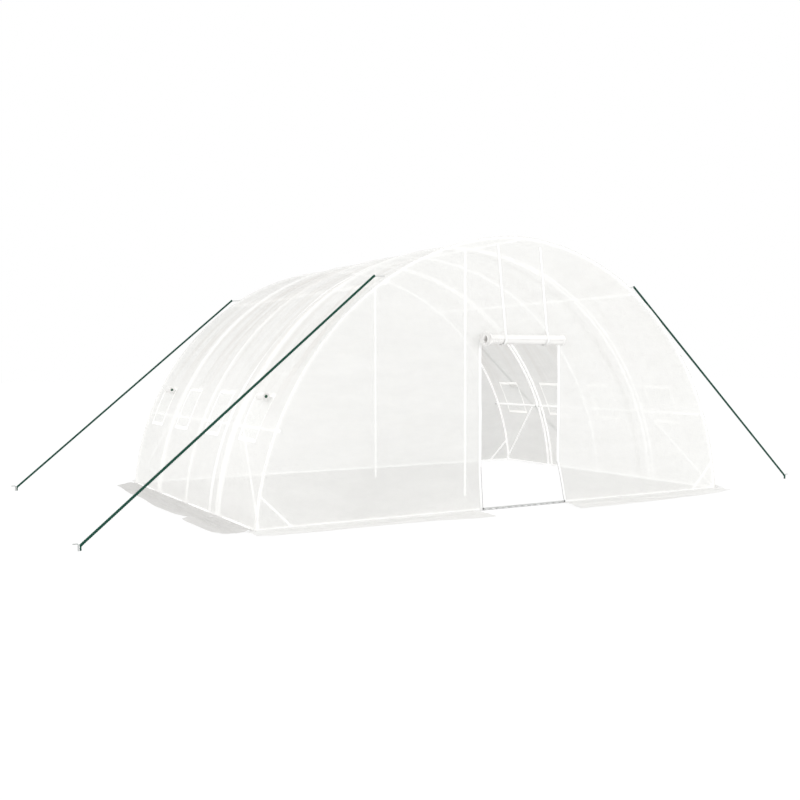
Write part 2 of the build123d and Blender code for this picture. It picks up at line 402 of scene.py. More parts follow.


# Painted shade: darker brownish bands along the folds of the roof, none at the crown or low on the sides
def addPaintedFoldShade(board, place, tint, look):
    stretch = {"Scale": (2.9, 0.2, 1.0), "Rotation": (0, 0, 0.03)}
    drawn = board.add("ShaderNodeMapping", None, {0: place, **stretch})
    bands = board.add("ShaderNodeTexNoise", None, {0: drawn, "Scale": 1.7, "Detail": 2.5, "Roughness": 0.55})
    along = board.add("ShaderNodeSeparateXYZ", None, {0: place}, output=1)
    girth = board.add("ShaderNodeMath", {"operation": "ABSOLUTE"}, {0: along})
    roof = board.limit((girth - 0.55) * 1.4) * board.limit((3.5 - girth) * 1.1)
    share = board.limit((bands - 0.46) * 6.0) * roof * look["streaks"]
    paintedFoldShade = tuple(part * fade for part, fade in zip(look["colour"][:3], scrim["paintedFoldShade"])) + (1,)
    return board.mixColour(share, tint, paintedFoldShade)


# Reinforced film: a square scrim in a milky sheet, with creases and cloudy thickness
def makeFilm(name, look):
    material, board = newMaterial(name)
    place = board.add("ShaderNodeUVMap", {"uv_map": "film"})
    threads = addThreads(board, place, scrim["cell"], scrim["thread"])
    stretched = board.add("ShaderNodeMapping", None, {0: place, "Scale": (1.0, 2.6, 1.0)})
    cloudy = {"Scale": 2.1, "Detail": 5, "Roughness": 0.62}
    clouds = board.add("ShaderNodeTexNoise", None, {0: stretched, **cloudy})
    creases = board.add(
        "ShaderNodeTexNoise",
        {"noise_type": "RIDGED_MULTIFRACTAL"},
        {0: stretched, "Scale": 3.2, "Detail": 4, "Roughness": 0.5, "Lacunarity": 2.1},
    )
    fine = board.add("ShaderNodeTexNoise", None, {0: place, "Scale": 60, "Detail": 2})
    height = clouds * 0.5 + creases * 0.35 + fine * 0.05 + threads * 0.05
    bump = board.add("ShaderNodeBump", None, {"Strength": look["bump"], "Distance": 0.02, "Height": height})
    shade = board.limit((clouds - 0.5) * 2.2 + 0.5)
    tint = board.mixColour(shade, faded(look["colour"], scrim["dull"]), look["colour"])
    # painted fold shade streaked on the roof film
    if "streaks" in look:
        tint = addPaintedFoldShade(board, place, tint, look)
    gloss = scrim["gloss"] + (fine - 0.5) * 0.2
    skin = board.add(
        "ShaderNodeBsdfPrincipled",
        None,
        {
            "Base Color": tint,
            "Roughness": gloss,
            "Normal": bump,
            "IOR": 1.45,
            # painted glow, for a film that has one
            "Emission Color": look["colour"],
            "Emission Strength": look.get("glow", 0.0),
        },
    )
    glow = board.add("ShaderNodeBsdfTranslucent", None, {0: tint})
    body = board.add("ShaderNodeMixShader", None, {0: look["through"], 1: skin, 2: glow})
    clear = board.add("ShaderNodeBsdfTransparent")
    veil = board.limit(look["veil"] - 0.035 + threads * 0.06 + (clouds - 0.5) * 0.08)
    board.finish(board.add("ShaderNodeMixShader", None, {0: veil, 1: clear, 2: body}))
    return material


films = {name: makeFilm(name, look) for name, look in filmLooks.items()}


# Coated or bare steel tube, a little uneven; the white coat gets a painted glow, an emission that makes it brighter
# than its lighting gives
def makeTubeSteel(name, colour, rough, metallic, glow):
    material, board = newMaterial(name)
    place = board.add("ShaderNodeTexCoord", output="Object")
    spangle = board.add("ShaderNodeTexVoronoi", None, {0: place, "Scale": 90})
    smear = board.add("ShaderNodeTexNoise", None, {0: place, "Scale": 9, "Detail": 4})
    tint = board.mixColour(board.limit(smear * 0.7 + spangle * 0.3), faded(colour, 0.9), colour)
    bump = board.add("ShaderNodeBump", None, {"Strength": 0.08, "Distance": 0.001, "Height": spangle})
    board.finish(board.add(
        "ShaderNodeBsdfPrincipled",
        None,
        {
            "Base Color": tint,
            "Roughness": rough + (smear - 0.5) * 0.2,
            "Metallic": metallic,
            "Normal": bump,
            "Emission Color": colour,
            "Emission Strength": glow,
        },
    ))
    return material


# painted glow on the white tubes, stronger on the poles
tubeSteel = makeTubeSteel("tubeSteel", (0.93, 0.93, 0.925, 1), 0.38, 0.0, 0.3)
poleSteel = makeTubeSteel("poleSteel", (0.95, 0.95, 0.945, 1), 0.38, 0.0, 0.42)
thresholdSteel = makeTubeSteel("thresholdSteel", (0.62, 0.63, 0.62, 1), 0.4, 0.35, 0.0)
nutSteel = makeTubeSteel("nutSteel", (0.35, 0.36, 0.36, 1), 0.4, 0.6, 0.0)


# Rope, webbing, plastic and the like: a fine grain in one colour
def makePlain(name, colour, rough, speck=0.12, scale=40):
    material, board = newMaterial(name)
    place = board.add("ShaderNodeTexCoord", output="Object")
    grain = board.add("ShaderNodeTexNoise", None, {0: place, "Scale": scale, "Detail": 3})
    tint = board.mixColour(grain, faded(colour, 1 - speck), colour)
    bump = board.add("ShaderNodeBump", None, {"Strength": 0.15, "Distance": 0.001, "Height": grain})
    board.finish(board.add(
        "ShaderNodeBsdfPrincipled", None, {"Base Color": tint, "Roughness": rough, "Normal": bump}
    ))
    return material


ropeGreen = makePlain("ropeGreen", (0.0015, 0.074, 0.046, 1), 0.9, 0.35, 160)
loopGrey = makePlain("loopGrey", (0.72, 0.73, 0.72, 1), 0.7, 0.2, 160)
capGreen = makePlain("capGreen", (0.012, 0.075, 0.04, 1), 0.45)
webbingWhite = makePlain("webbingWhite", (0.93, 0.93, 0.92, 1), 0.7, 0.08, 220)
zipWhite = makePlain("zipWhite", (0.93, 0.93, 0.925, 1), 0.55, 0.08, 200)
pegGrey = makePlain("pegGrey", (0.45, 0.47, 0.46, 1), 0.5)
toothDark = makePlain("toothDark", (0.08, 0.085, 0.085, 1), 0.45, 0.2, 90)


# Insect net: close threads that let light through
def makeNet():
    material, board = newMaterial("ventNet")
    place = board.add("ShaderNodeUVMap", {"uv_map": "film"})
    threads = addThreads(board, place, netting["cell"], netting["thread"])
    uneven = board.add("ShaderNodeTexNoise", None, {0: place, "Scale": 30})
    tint = board.mixColour(uneven, netting["dull"], netting["colour"])
    skin = board.add("ShaderNodeBsdfPrincipled", None, {"Base Color": tint, "Roughness": 0.7})
    glow = board.add("ShaderNodeBsdfTranslucent", None, {0: tint})
    body = board.add("ShaderNodeMixShader", None, {0: netting["through"], 1: skin, 2: glow})
    clear = board.add("ShaderNodeBsdfTransparent")
    board.finish(board.add("ShaderNodeMixShader", None, {0: threads, 1: clear, 2: body}))
    return material


netWhite = makeNet()
print("materials ready")

tunnel = {
    "span": 6.0,
    "height": 2.85,
    "length": 4.0,
    "bend": 3.085,      # outside of the film, one radius for each half
    "film": 0.003,
    "seat": 0.0003,
    "tube": 0.025,
    "sill": 0.81,
    "head": 1.215,
    "ventWidth": 0.395,
    "vents": (-1.41, -0.39, 0.62, 1.57),
    "arches": (-2.0, -1.0375, -0.9625, 0.0, 0.9625, 1.0375, 2.0),
    "purlins": (0.92, 2.33),
    "gable": 2.0163,    # middle of the gable film
}
halfSpan = tunnel["span"] / 2
chord = math.hypot(halfSpan, tunnel["height"])
chordRise = math.sqrt(tunnel["bend"] ** 2 - (chord / 2) ** 2)
bendX = halfSpan / 2 - chordRise * tunnel["height"] / chord
bendZ = tunnel["height"] / 2 - chordRise * halfSpan / chord
filmRadius = tunnel["bend"] - tunnel["film"] / 2
archRadius = tunnel["bend"] - tunnel["film"] - tunnel["seat"] - tunnel["tube"] / 2
purlinRadius = archRadius - tunnel["tube"] - tunnel["seat"]
ridgeAngle = math.acos(-bendX / filmRadius)
footAngle = math.asin(-bendZ / filmRadius)
halfGirth = filmRadius * (ridgeAngle - footAngle)


def angleAt(z, radius=filmRadius):
    return math.asin((z - bendZ) / radius)


def sideAt(z, radius=filmRadius):
    return bendX + math.sqrt(radius ** 2 - (z - bendZ) ** 2)


def topAt(x, radius=filmRadius):
    return bendZ + math.sqrt(radius ** 2 - (abs(x) - bendX) ** 2)


def archPoint(side, angle, radius, y):
    return Vector((side * (bendX + radius * math.cos(angle)), y, bendZ + radius * math.sin(angle)))


def smooth(value, low, high):
    share = min(max((value - low) / (high - low), 0), 1)
    return share * share * (3 - 2 * share)


def spread(low, high, step):
    count = max(1, round((high - low) / step))
    return [low + (high - low) * index / count for index in range(count + 1)]


# Lines of a sheet's grid, with every given place on a line
def gridLines(places, step):
    lines = []
    for low, high in zip(places, places[1:]):
        lines += spread(low, high, step)[:-1]
    return lines + [places[-1]]


def newPiece(name, points, faces, material=None, rounded=False):
    mesh = bpy.data.meshes.new(name)
    mesh.from_pydata(points, [], faces)
    for polygon in mesh.polygons:
        polygon.use_smooth = rounded
    if material:
        mesh.materials.append(material)
    piece = bpy.data.objects.new(name, mesh)
    scene.collection.objects.link(piece)
    return piece


# A sheet laid out flat in across and along, in metres, and put in place by a function
def buildSheet(name, acrossLines, alongLines, placing, keep=None, material=None):
    columns = len(acrossLines)
    flat = [(u, v) for v in alongLines for u in acrossLines]
    faces = []
    for row in range(len(alongLines) - 1):
        for column in range(columns - 1):
            middle = (
                (acrossLines[column] + acrossLines[column + 1]) / 2,
                (alongLines[row] + alongLines[row + 1]) / 2,
            )
            if keep is None or keep(*middle):
                first = row * columns + column
                faces.append((first, first + 1, first + columns + 1, first + columns))
    piece = newPiece(name, [placing(u, v) for u, v in flat], faces, material, rounded=True)
    layer = piece.data.uv_layers.new(name="film")
    for loop in piece.data.loops:
        layer.data[loop.index].uv = flat[loop.vertex_index]
    dropLoose(piece.data)
    return piece


def dropLoose(mesh):
    work = bmesh.new()
    work.from_mesh(mesh)
    bmesh.ops.delete(work, geom=[v for v in work.verts if not v.link_faces], context="VERTS")
    work.to_mesh(mesh)
    work.free()


def flatArea(piece):
    return sum(polygon.area for polygon in piece.data.polygons)


coverFolds = {
    "wallSag": 0.007,       # how far the film hangs in between two arches, low on the sides,
    "roofSag": 0.034,       # on the roof
    "crownSag": 0.024,      # and at the ridge
    "roofHeights": (1.1, 1.9),
    "crownHeights": (2.5, 2.85),
    "purlinDip": 0.012,
    "purlinReach": 0.12,
    "holdReach": 0.1,
    "ripple": 0.003,
    "foldDepth": 0.018,
    "bayDepths": (1.1, 1.0, 0.7, 0.3),
    "overPurlins": 0.02,    # a purlin stops the film this far in
    "free": 0.06,           # and between purlins it may come in this much further
    "folds": 6,             # random folds in each bay
    "step": 0.026,
    "girthStep": 0.045,
}
draw = random.Random(7)
bays = [bay for bay in zip(tunnel["arches"], tunnel["arches"][1:]) if bay[1] - bay[0] > 0.1]
bayFolds = [
    [
        {
            "place": draw.uniform(0.12, 0.88),
            "width": draw.uniform(0.04, 0.09),
            "depth": draw.uniform(0.5, 1.3) * draw.choice((1, -0.8)),
            "lean": draw.uniform(-0.12, 0.12),
            "low": draw.uniform(0.9, 1.9),
        }
        for _ in range(coverFolds["folds"])
    ]
    for _ in bays
]


# How far the film lies inside the arches' line, by height and place along the tunnel
def coverSag(girth, y):
    angle = ridgeAngle - abs(girth) / filmRadius
    z = bendZ + filmRadius * math.sin(angle)
    side = 1 if girth > 0 else -1
    wallSag, roofSag = coverFolds["wallSag"], coverFolds["roofSag"]
    for number, (front, back) in enumerate(bays):
        if front < y < back:
            share = (y - front) / (back - front)
            hang = 4 * share * (1 - share)
            deep = wallSag + (roofSag - wallSag) * smooth(z, *coverFolds["roofHeights"])
            deep -= (roofSag - coverFolds["crownSag"]) * smooth(z, *coverFolds["crownHeights"])
            overPurlin = (z - tunnel["purlins"][1]) / coverFolds["purlinReach"]
            deep -= coverFolds["purlinDip"] * math.exp(-overPurlin ** 2)
            inward = deep * hang
            foldDepth = coverFolds["foldDepth"] * coverFolds["bayDepths"][number]
            for fold in bayFolds[number]:
                middle = fold["place"] + fold["lean"] * (z - 1.8) * side
                near = math.exp(-((share - middle) / fold["width"]) ** 2)
                strength = smooth(z, fold["low"] - 0.35, fold["low"] + 0.25) * hang ** 0.5
                inward += foldDepth * fold["depth"] * near * strength
            ripple = noise.noise(Vector((girth * 1.3, y * 5.0, 3.0 + number)))
            inward += coverFolds["ripple"] * ripple * hang
            bars = (*tunnel["purlins"], tunnel["height"])
            near = max(math.exp(-((z - bar) / coverFolds["holdReach"]) ** 2) for bar in bars)
            most = coverFolds["overPurlins"] + coverFolds["free"] * (1 - near)
            return min(max(inward, 0.0), most)
    return 0.0


def coverPlace(y, girth):
    side = 1 if girth > 0 else -1
    angle = ridgeAngle - abs(girth) / filmRadius
    return archPoint(side, angle, filmRadius - coverSag(girth, y), y)


def girthAt(z):
    return filmRadius * (ridgeAngle - angleAt(z))


# Lines of the cover's grid along the tunnel and over the arches
def coverLines():
    sillGirth, headGirth = girthAt(tunnel["sill"]), girthAt(tunnel["head"])
    half = tunnel["ventWidth"] / 2
    ventEdges = [edge for y in tunnel["vents"] for edge in (y - half, y + half)]
    yPlaces = sorted({-tunnel["gable"], tunnel["gable"], *tunnel["arches"], *ventEdges})
    girthPlaces = [-halfGirth, -sillGirth, -headGirth, 0, headGirth, sillGirth, halfGirth]
    return gridLines(yPlaces, coverFolds["step"]), gridLines(girthPlaces, coverFolds["girthStep"])


def buildCover():
    sillGirth, headGirth = girthAt(tunnel["sill"]), girthAt(tunnel["head"])

    def closed(y, girth):
        inVent = headGirth < abs(girth) < sillGirth
        return not (inVent and any(abs(y - vent) < tunnel["ventWidth"] / 2 for vent in tunnel["vents"]))

    yLines, girthLines = coverLines()
    cover = buildSheet("cover", yLines, girthLines, coverPlace, closed, films["coverFilm"])
    cover.data.flip_normals()
    ventArea = 8 * tunnel["ventWidth"] * (sillGirth - headGirth)
    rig.ride(cover, "root")
    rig.replaces(
        cover,
        "cover_foot_band",
        "cover_window_band",
        "cover_shoulder_band",
        "cover_haunch_band",
        "cover_upper_band",
        "cover_crown",
    )
    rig.slot(cover, "cover_film")
    width, length = 2 * tunnel["gable"], 2 * halfGirth
    return cover, width, length, width * length - ventArea


cover, coverWidth, coverLength, coverArea = buildCover()
print("cover stretched over the arches")

doorway = {
    "left": -0.49,
    "right": 0.52,
    "height": 1.745,
    "flare": 0.11,
    "leftFlare": 0.026,
    "flareHeight": 0.45,
    "flareFade": 0.9,       # how far from the jamb the film is still drawn aside
    "step": 0.035,
    "longFold": 0.009,
    "shortFold": 0.0035,
    "edgeHold": 0.35,       # the film is flat at the arch and the ground, and free this far from the arch
    "footHold": 0.25,       # and this far above the ground
    "spare": 0.01,          # cut off along the arch
}


def gableWrinkle(x, z, seed):
    long = noise.noise(Vector((x * 0.9, z * 3.4, seed)))
    short = noise.noise(Vector((x * 2.3, z * 7.5, seed + 9)))
    edge = min(topAt(x) - z, 1.0) if z > 0.02 else 0.0
    held = smooth(edge, 0.0, doorway["edgeHold"]) * smooth(z, 0.0, doorway["footHold"])
    return held * (doorway["longFold"] * long + doorway["shortFold"] * short)


def cutToArch(piece):
    work = bmesh.new()
    work.from_mesh(piece.data)
    steps = 64
    for side in (-1, 1):
        for index in range(steps):
            start = footAngle + (ridgeAngle - footAngle) * index / steps
            end = footAngle + (ridgeAngle - footAngle) * (index + 1) / steps
            middle = (start + end) / 2
            point = archPoint(side, start, filmRadius, 0)
            outward = Vector((side * math.cos(middle), 0, math.sin(middle)))
            flatPoint = Vector((point.x, 0, point.z))
            everything = work.verts[:] + work.edges[:] + work.faces[:]
            bmesh.ops.bisect_plane(
                work, geom=everything, plane_co=flatPoint, plane_no=outward, clear_outer=True, dist=1e-5
            )
    work.to_mesh(piece.data)
    work.free()


def buildGable(name, y, facing, door):
    spare = doorway["spare"]
    xPlaces = [-halfSpan - spare, doorway["left"], doorway["right"], halfSpan + spare]
    zPlaces = [0.0, doorway["flareHeight"], doorway["height"], tunnel["height"] + spare]

    def open(x, z):
        return not (door and doorway["left"] < x < doorway["right"] and z < doorway["height"])

    gable = buildSheet(
        name,
        gridLines(xPlaces, doorway["step"]),
        gridLines(zPlaces, doorway["step"]),
        lambda x, z: Vector((x, 0, z)),
        open,
        films["gableFilm"],
    )
    cutToArch(gable)
    cutArea = flatArea(gable)
    for vertex in gable.data.vertices:
        x, z = vertex.co.x, vertex.co.z
        low, fade = max(0, 1 - z / doorway["flareHeight"]), doorway["flareFade"]
        if door and x >= doorway["right"] - 1e-4:
            vertex.co.x += doorway["flare"] * low * max(0, 1 - (x - doorway["right"]) / fade)
        if door and x <= doorway["left"] + 1e-4:
            vertex.co.x += doorway["leftFlare"] * low * max(0, 1 - (doorway["left"] - x) / fade)
        vertex.co.y = y + facing * gableWrinkle(x, z, 4 if door else 20)
    if facing > 0:
        gable.data.flip_normals()
    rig.ride(gable, "root")
    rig.slot(gable, "gable_film")
    if door:
        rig.replaces(gable, "front_gable_left", "front_gable_right", "front_gable_top")
        rests = ["frontArch", "frontBaseRail"]
    else:
        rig.replaces(gable, "back_gable")
        rests = ["rearArch", "backBaseRail"]
    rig.sheet(gable, flat=(tunnel["span"], tunnel["height"]), held="stretched", rests_on=rests, area=cutArea)
    return gable


buildGable("frontGable", -tunnel["gable"], -1, True)
buildGable("backGable", tunnel["gable"], 1, False)
print("gables hung")

tubing = {
    "sides": 18,
    "wall": 0.0015,
    "mouth": 0.03,          # how deep the open ends are hollow
    "brace": 0.02,
    "archSteps": 44,
    "braceShort": 0.12,     # the side braces end this far before the double arches
    "cornerReach": 0.32,
}
endBay = tunnel["length"] / 2 + tunnel["arches"][1]
reach = tunnel["tube"] / 2 / math.cos(math.pi / 6)
farEnd = tunnel["length"] / 2 + reach


# Selects faces in edit mode by their middle and normal
def pickFaces(piece, wanted):
    bpy.ops.mesh.select_mode(type="FACE")
    bpy.ops.mesh.select_all(action="DESELECT")
    work = bmesh.from_edit_mesh(piece.data)
    for face in work.faces:
        face.select_set(bool(wanted(face.calc_center_median(), face.normal)))
    bmesh.update_edit_mesh(piece.data)


def joinPieces(name, parts, material, nodes=(), slot=None):
    deselect()
    for part in parts:
        part.select_set(True)
    bpy.context.view_layer.objects.active = parts[0]
    if len(parts) > 1:
        bpy.ops.object.join()
    whole = bpy.context.object
    whole.name = name
    bpy.ops.object.shade_smooth_by_angle(angle=math.radians(40))
    whole.data.materials.clear()
    whole.data.materials.append(material)
    deselect()
    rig.ride(whole, "root")
    if nodes:
        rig.replaces(whole, *nodes)
    if slot:
        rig.slot(whole, slot)
    return whole


def mirrored(part):
    other = part.copy()
    other.data = part.data.copy()
    other.data.transform(Matrix.Scale(-1, 4, (1, 0, 0)))
    other.data.flip_normals()
    scene.collection.objects.link(other)
    return other


# The turn and place that bring a part standing on +Z to a direction at a point
def standing(place, direction):
    return Matrix.Translation(place) @ Vector(direction).to_track_quat("Z", "Y").to_matrix().to_4x4()


def addTube(start, end, diameter):
    start, end = Vector(start), Vector(end)
    length = (end - start).length
    deselect()
    bpy.ops.mesh.primitive_cylinder_add(vertices=tubing["sides"], radius=diameter / 2, depth=length)
    tube = bpy.context.object
    bpy.ops.object.mode_set(mode="EDIT")
    pickFaces(tube, lambda middle, normal: abs(normal.z) > 0.9)
    bpy.ops.mesh.inset(thickness=tubing["wall"], use_individual=True)
    bpy.ops.mesh.extrude_region_move()
    inner = 1 - 2 * min(tubing["mouth"] / length, 0.4)
    bpy.ops.transform.resize(value=(1, 1, inner), center_override=(0, 0, 0))
    bpy.ops.object.mode_set(mode="OBJECT")
    tube.data.transform(standing((start + end) / 2, end - start))
    return tube


def addArch(y):
    foot = math.asin((0.001 - bendZ) / archRadius)
    top = math.acos(-bendX / archRadius)
    start = archPoint(1, foot, archRadius, y)
    deselect()
    bpy.ops.mesh.primitive_circle_add(
        vertices=tubing["sides"], radius=tunnel["tube"] / 2, location=start, rotation=(0, -foot, 0)
    )
    half = bpy.context.object
    bpy.ops.object.mode_set(mode="EDIT")
    bpy.ops.mesh.select_all(action="SELECT")
    bpy.ops.mesh.spin(
        steps=tubing["archSteps"], angle=top - foot, center=(bendX, y, bendZ), axis=(0, 1, 0)
    )
    bpy.ops.mesh.select_all(action="SELECT")
    bpy.ops.mesh.normals_make_consistent(inside=False)
    bpy.ops.object.mode_set(mode="OBJECT")
    bpy.ops.object.transform_apply(location=True, rotation=True, scale=True)
    other = mirrored(half)
    half.select_set(True)
    other.select_set(True)
    bpy.context.view_layer.objects.active = half
    bpy.ops.object.join()
    bpy.ops.object.mode_set(mode="EDIT")
    bpy.ops.mesh.select_all(action="SELECT")
    bpy.ops.mesh.remove_doubles(threshold=0.0012)
    bpy.ops.object.mode_set(mode="OBJECT")
    return half


def buildArches():
    groups = {
        "frontArch": ("front_arch", tunnel["arches"][:1]),
        "frontDoubleArch": ("front_double_arch", tunnel["arches"][1:3]),
        "middleArch": ("middle_arch", tunnel["arches"][3:4]),
        "rearDoubleArch": ("rear_double_arch", tunnel["arches"][4:6]),
        "rearArch": ("rear_arch", tunnel["arches"][6:]),
    }
    for name, (node, places) in groups.items():
        joinPieces(name, [addArch(y) for y in places], tubeSteel, [node], "frame_tube")


def purlinLine(z):
    angle = angleAt(z, tunnel["bend"])
    return bendX + purlinRadius * math.cos(angle), bendZ + purlinRadius * math.sin(angle)


def buildBars():
    tube, seat = tunnel["tube"], tunnel["seat"]
    half = tunnel["length"] / 2
    purlinNames = (("midPurlins", "mid_purlins"), ("upperPurlins", "upper_purlins"))
    for (name, node), z in zip(purlinNames, tunnel["purlins"]):
        x, height = purlinLine(z)
        bars = [addTube((side * x, -farEnd, height), (side * x, farEnd, height), tube) for side in (-1, 1)]
        joinPieces(name, bars, tubeSteel, [node], "frame_tube")
    ridge = topAt(0, archRadius) - tube - seat
    bar = addTube((0, -farEnd, ridge), (0, farEnd, ridge), tube)
    joinPieces("ridgePurlin", [bar], tubeSteel, ["ridge_purlin"], "frame_tube")
    poleTop = ridge - tube / 2 - seat
    poles = [addTube((0, y, 0), (0, y, poleTop), tube) for y in (endBay - half, half - endBay)]
    joinPieces("centrePoles", poles, poleSteel, ["centre_poles"], "frame_tube")

    footX = min(sideAt(0, archRadius), sideAt(tube, archRadius))
    gap = reach + seat
    railNames = (("leftBaseRail", "left_base_rail", -1), ("rightBaseRail", "right_base_rail", 1))
    for name, node, side in railNames:
        rails = [
            addTube((side * footX, here + gap, tube / 2), (side * footX, there - gap, tube / 2), tube)
            for here, there in zip(tunnel["arches"], tunnel["arches"][1:])
        ]
        joinPieces(name, rails, tubeSteel, [node], "frame_tube")
    railEnd = sideAt(tube, archRadius) - tube / 2 - seat
    doorFoot = doorway["right"] + doorway["flare"]
    front = [
        addTube((-railEnd, -half, tube / 2), (doorway["left"], -half, tube / 2), tube),
        addTube((doorFoot, -half, tube / 2), (railEnd, -half, tube / 2), tube),
    ]
    joinPieces("frontBaseRail", front, tubeSteel, ["front_base_rail"], "frame_tube")
    back = addTube((-railEnd, half, tube / 2), (railEnd, half, tube / 2), tube)
    joinPieces("backBaseRail", [back], tubeSteel, ["back_base_rail"], "frame_tube")
    sill = addTube((doorway["left"], -half, tube / 2), (doorFoot, -half, tube / 2), tube)
    joinPieces("doorThreshold", [sill], thresholdSteel, ["door_threshold"], "threshold_tube")


def buildBraces():
    tube, brace, seat = tunnel["tube"], tubing["brace"], tunnel["seat"]
    half = tunnel["length"] / 2
    line = archRadius - tube / 2 - seat - brace / 2
    footZ = tube + brace / 2
    headZ = purlinLine(tunnel["purlins"][0])[1] - tube / 2 - brace
    foot = (sideAt(footZ, line), -half, footZ)
    head = (sideAt(headZ, line), endBay - half - tubing["braceShort"], headZ)
    cornerTop = (sideAt(tubing["cornerReach"], archRadius), -half, tubing["cornerReach"])
    cornerEnd = (cornerTop[0] - tubing["cornerReach"], -half, tube / 2)
    turns = [Vector((x, y, 1)) for x in (-1, 1) for y in (-1, 1)]
    sides = [addTube(turn * Vector(foot), turn * Vector(head), brace) for turn in turns]
    joinPieces("sideBraces", sides, tubeSteel, ["side_braces"], "frame_tube")
    corners = [addTube(turn * Vector(cornerTop), turn * Vector(cornerEnd), brace) for turn in turns]
    joinPieces("cornerBraces", corners, tubeSteel, ["corner_braces"], "frame_tube")


nut = {"radius": 0.0075, "height": 0.006, "stud": 0.0045, "studHeight": 0.007, "studEdge": 0.001}


# A hexagon nut with the end of its bolt, on the inner side of each purlin at each arch
def buildNuts():
    deselect()
    bpy.ops.mesh.primitive_cylinder_add(
        vertices=6, radius=nut["radius"], depth=nut["height"], location=(0, 0, nut["height"] / 2)
    )
    first = bpy.context.object
    bpy.ops.object.transform_apply(location=True, rotation=True, scale=True)
    bpy.ops.object.mode_set(mode="EDIT")
    pickFaces(first, lambda middle, normal: normal.z > 0.9)
    bpy.ops.mesh.inset(thickness=nut["radius"] - nut["stud"])
    bpy.ops.mesh.extrude_region_move(TRANSFORM_OT_translate={"value": (0, 0, nut["studHeight"])})
    bpy.ops.mesh.inset(thickness=nut["studEdge"])
    bpy.ops.object.mode_set(mode="OBJECT")
    copies = []
    inside = tunnel["tube"] / 2
    ridge = topAt(0, archRadius) - tunnel["tube"] - tunnel["seat"]
    for y in tunnel["arches"]:
        spots = [((0, y, ridge - inside), (0, 0, -1))]
        for z in tunnel["purlins"]:
            angle = angleAt(z, tunnel["bend"])
            for side in (-1, 1):
                inward = Vector((-side * math.cos(angle), 0, -math.sin(angle)))
                spots.append((archPoint(side, angle, purlinRadius - inside, y), inward))
        for place, direction in spots:
            copy = first.copy()
            copy.data = first.data.copy()
            copy.data.transform(standing(place, direction))
            scene.collection.objects.link(copy)
            copies.append(copy)
    bpy.data.objects.remove(first)
    joinPieces("purlinNuts", copies, nutSteel, (), "frame_tube")


buildArches()
buildBars()
buildBraces()
buildNuts()
print("frame tubes bent, joined and bolted")

vent = {
    "netSag": 0.006,
    "netBehind": 0.002,     # the net lies this far inside the film
    "step": 0.025,
    "sillHem": 0.034,
    "headHem": 0.016,
    "innerHem": 0.04,       # the hem at the head is wider on the inside
    "sideHem": 0.016,
    "hemLift": 0.0014,
}


def liftedPlace(y, girth, lift):
    side = 1 if girth > 0 else -1
    angle = ridgeAngle - abs(girth) / filmRadius
    return archPoint(side, angle, filmRadius - coverSag(girth, y) + lift, y)


# A net in each vent, and hems folded round the edges of the opening
def buildVents():
    sill, head = girthAt(tunnel["sill"]), girthAt(tunnel["head"])
    half = tunnel["ventWidth"] / 2
    hems = []
    for side in (-1, 1):
        for number, middle in enumerate(tunnel["vents"]):

            def netPlace(y, girth):
                across = 1 - ((y - middle) / half) ** 2
                up = (girth - head) / (sill - head)
                belly = vent["netSag"] * across * 4 * up * (1 - up)
                return liftedPlace(y, side * girth, -vent["netBehind"] - belly)

            label = ("left" if side < 0 else "right") + "Net" + str(number + 1)
            net = buildSheet(
                label,
                spread(middle - half, middle + half, vent["step"]),
                spread(head, sill, vent["step"]),
                netPlace,
                None,
                netWhite,
            )
            if side > 0:
                net.data.flip_normals()
            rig.ride(net, "root")
            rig.replaces(net, "window_nets")
            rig.slot(net, "vent_net")
            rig.sheet(net, flat=(2 * half, sill - head), held="stretched", rests_on=["cover"])
            front, back = middle - half, middle + half
            wide = vent["sideHem"]
            for lift, headHem in ((vent["hemLift"], vent["headHem"]), (-vent["hemLift"], vent["innerHem"])):
                strips = [
                    (front - wide, back + wide, sill, sill + vent["sillHem"]),
                    (front - wide, back + wide, head - headHem, head),
                    (front - wide, front, head, sill),
                    (back, back + wide, head, sill),
                ]
                for start, end, upper, lower in strips:
                    hem = buildSheet(
                        "hem",
                        spread(start, end, vent["step"]),
                        spread(upper, lower, vent["step"]),
                        lambda y, girth: liftedPlace(y, side * girth, lift),
                    )
                    if side * lift > 0:
                        hem.data.flip_normals()
                    hems.append(hem)
    return joinPieces("ventHems", hems, films["hemFilm"], (), "cover_film")


seam = {
    "width": 0.02,
    "lift": 0.0012,
    "lap": (-0.845, -0.745),    # edge of the rear half of the film, where it laps the front half
}


# Welded tape over the film's edge on the front arch, and along the lap of its two halves
def buildSeams():
    yLines, girthLines = coverLines()
    edge = tunnel["gable"] - seam["width"]
    bands = (
        ([y for y in yLines if y < -edge], girthLines),
        ([y for y in yLines if seam["lap"][0] < y < seam["lap"][1]], girthLines),
    )
    strips = []
    for across, along in bands:
        strip = buildSheet("seam", across, along, lambda y, girth: liftedPlace(y, girth, seam["lift"]))
        strip.data.flip_normals()
        strips.append(strip)
    return joinPieces("coverSeams", strips, films["seamFilm"], (), "cover_film")


ventHems = buildVents()
coverSeams = buildSeams()
print("nets, hems and seams placed")


def finishSheet(piece, slot, nodes, flat, held, rests, area=None):
    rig.ride(piece, "root")
    if nodes:
        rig.replaces(piece, *nodes)
    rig.slot(piece, slot)
    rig.sheet(piece, flat=flat, held=held, rests_on=rests, area=area)


# Gives a sheet its thickness on the inner side
def thicken(piece, thickness):
    deselect()
    piece.select_set(True)
    bpy.context.view_layer.objects.active = piece
    shell = piece.modifiers.new("shell", "SOLIDIFY")
    shell.thickness = thickness
    shell.offset = -1
    bpy.ops.object.modifier_apply(modifier="shell")
    deselect()


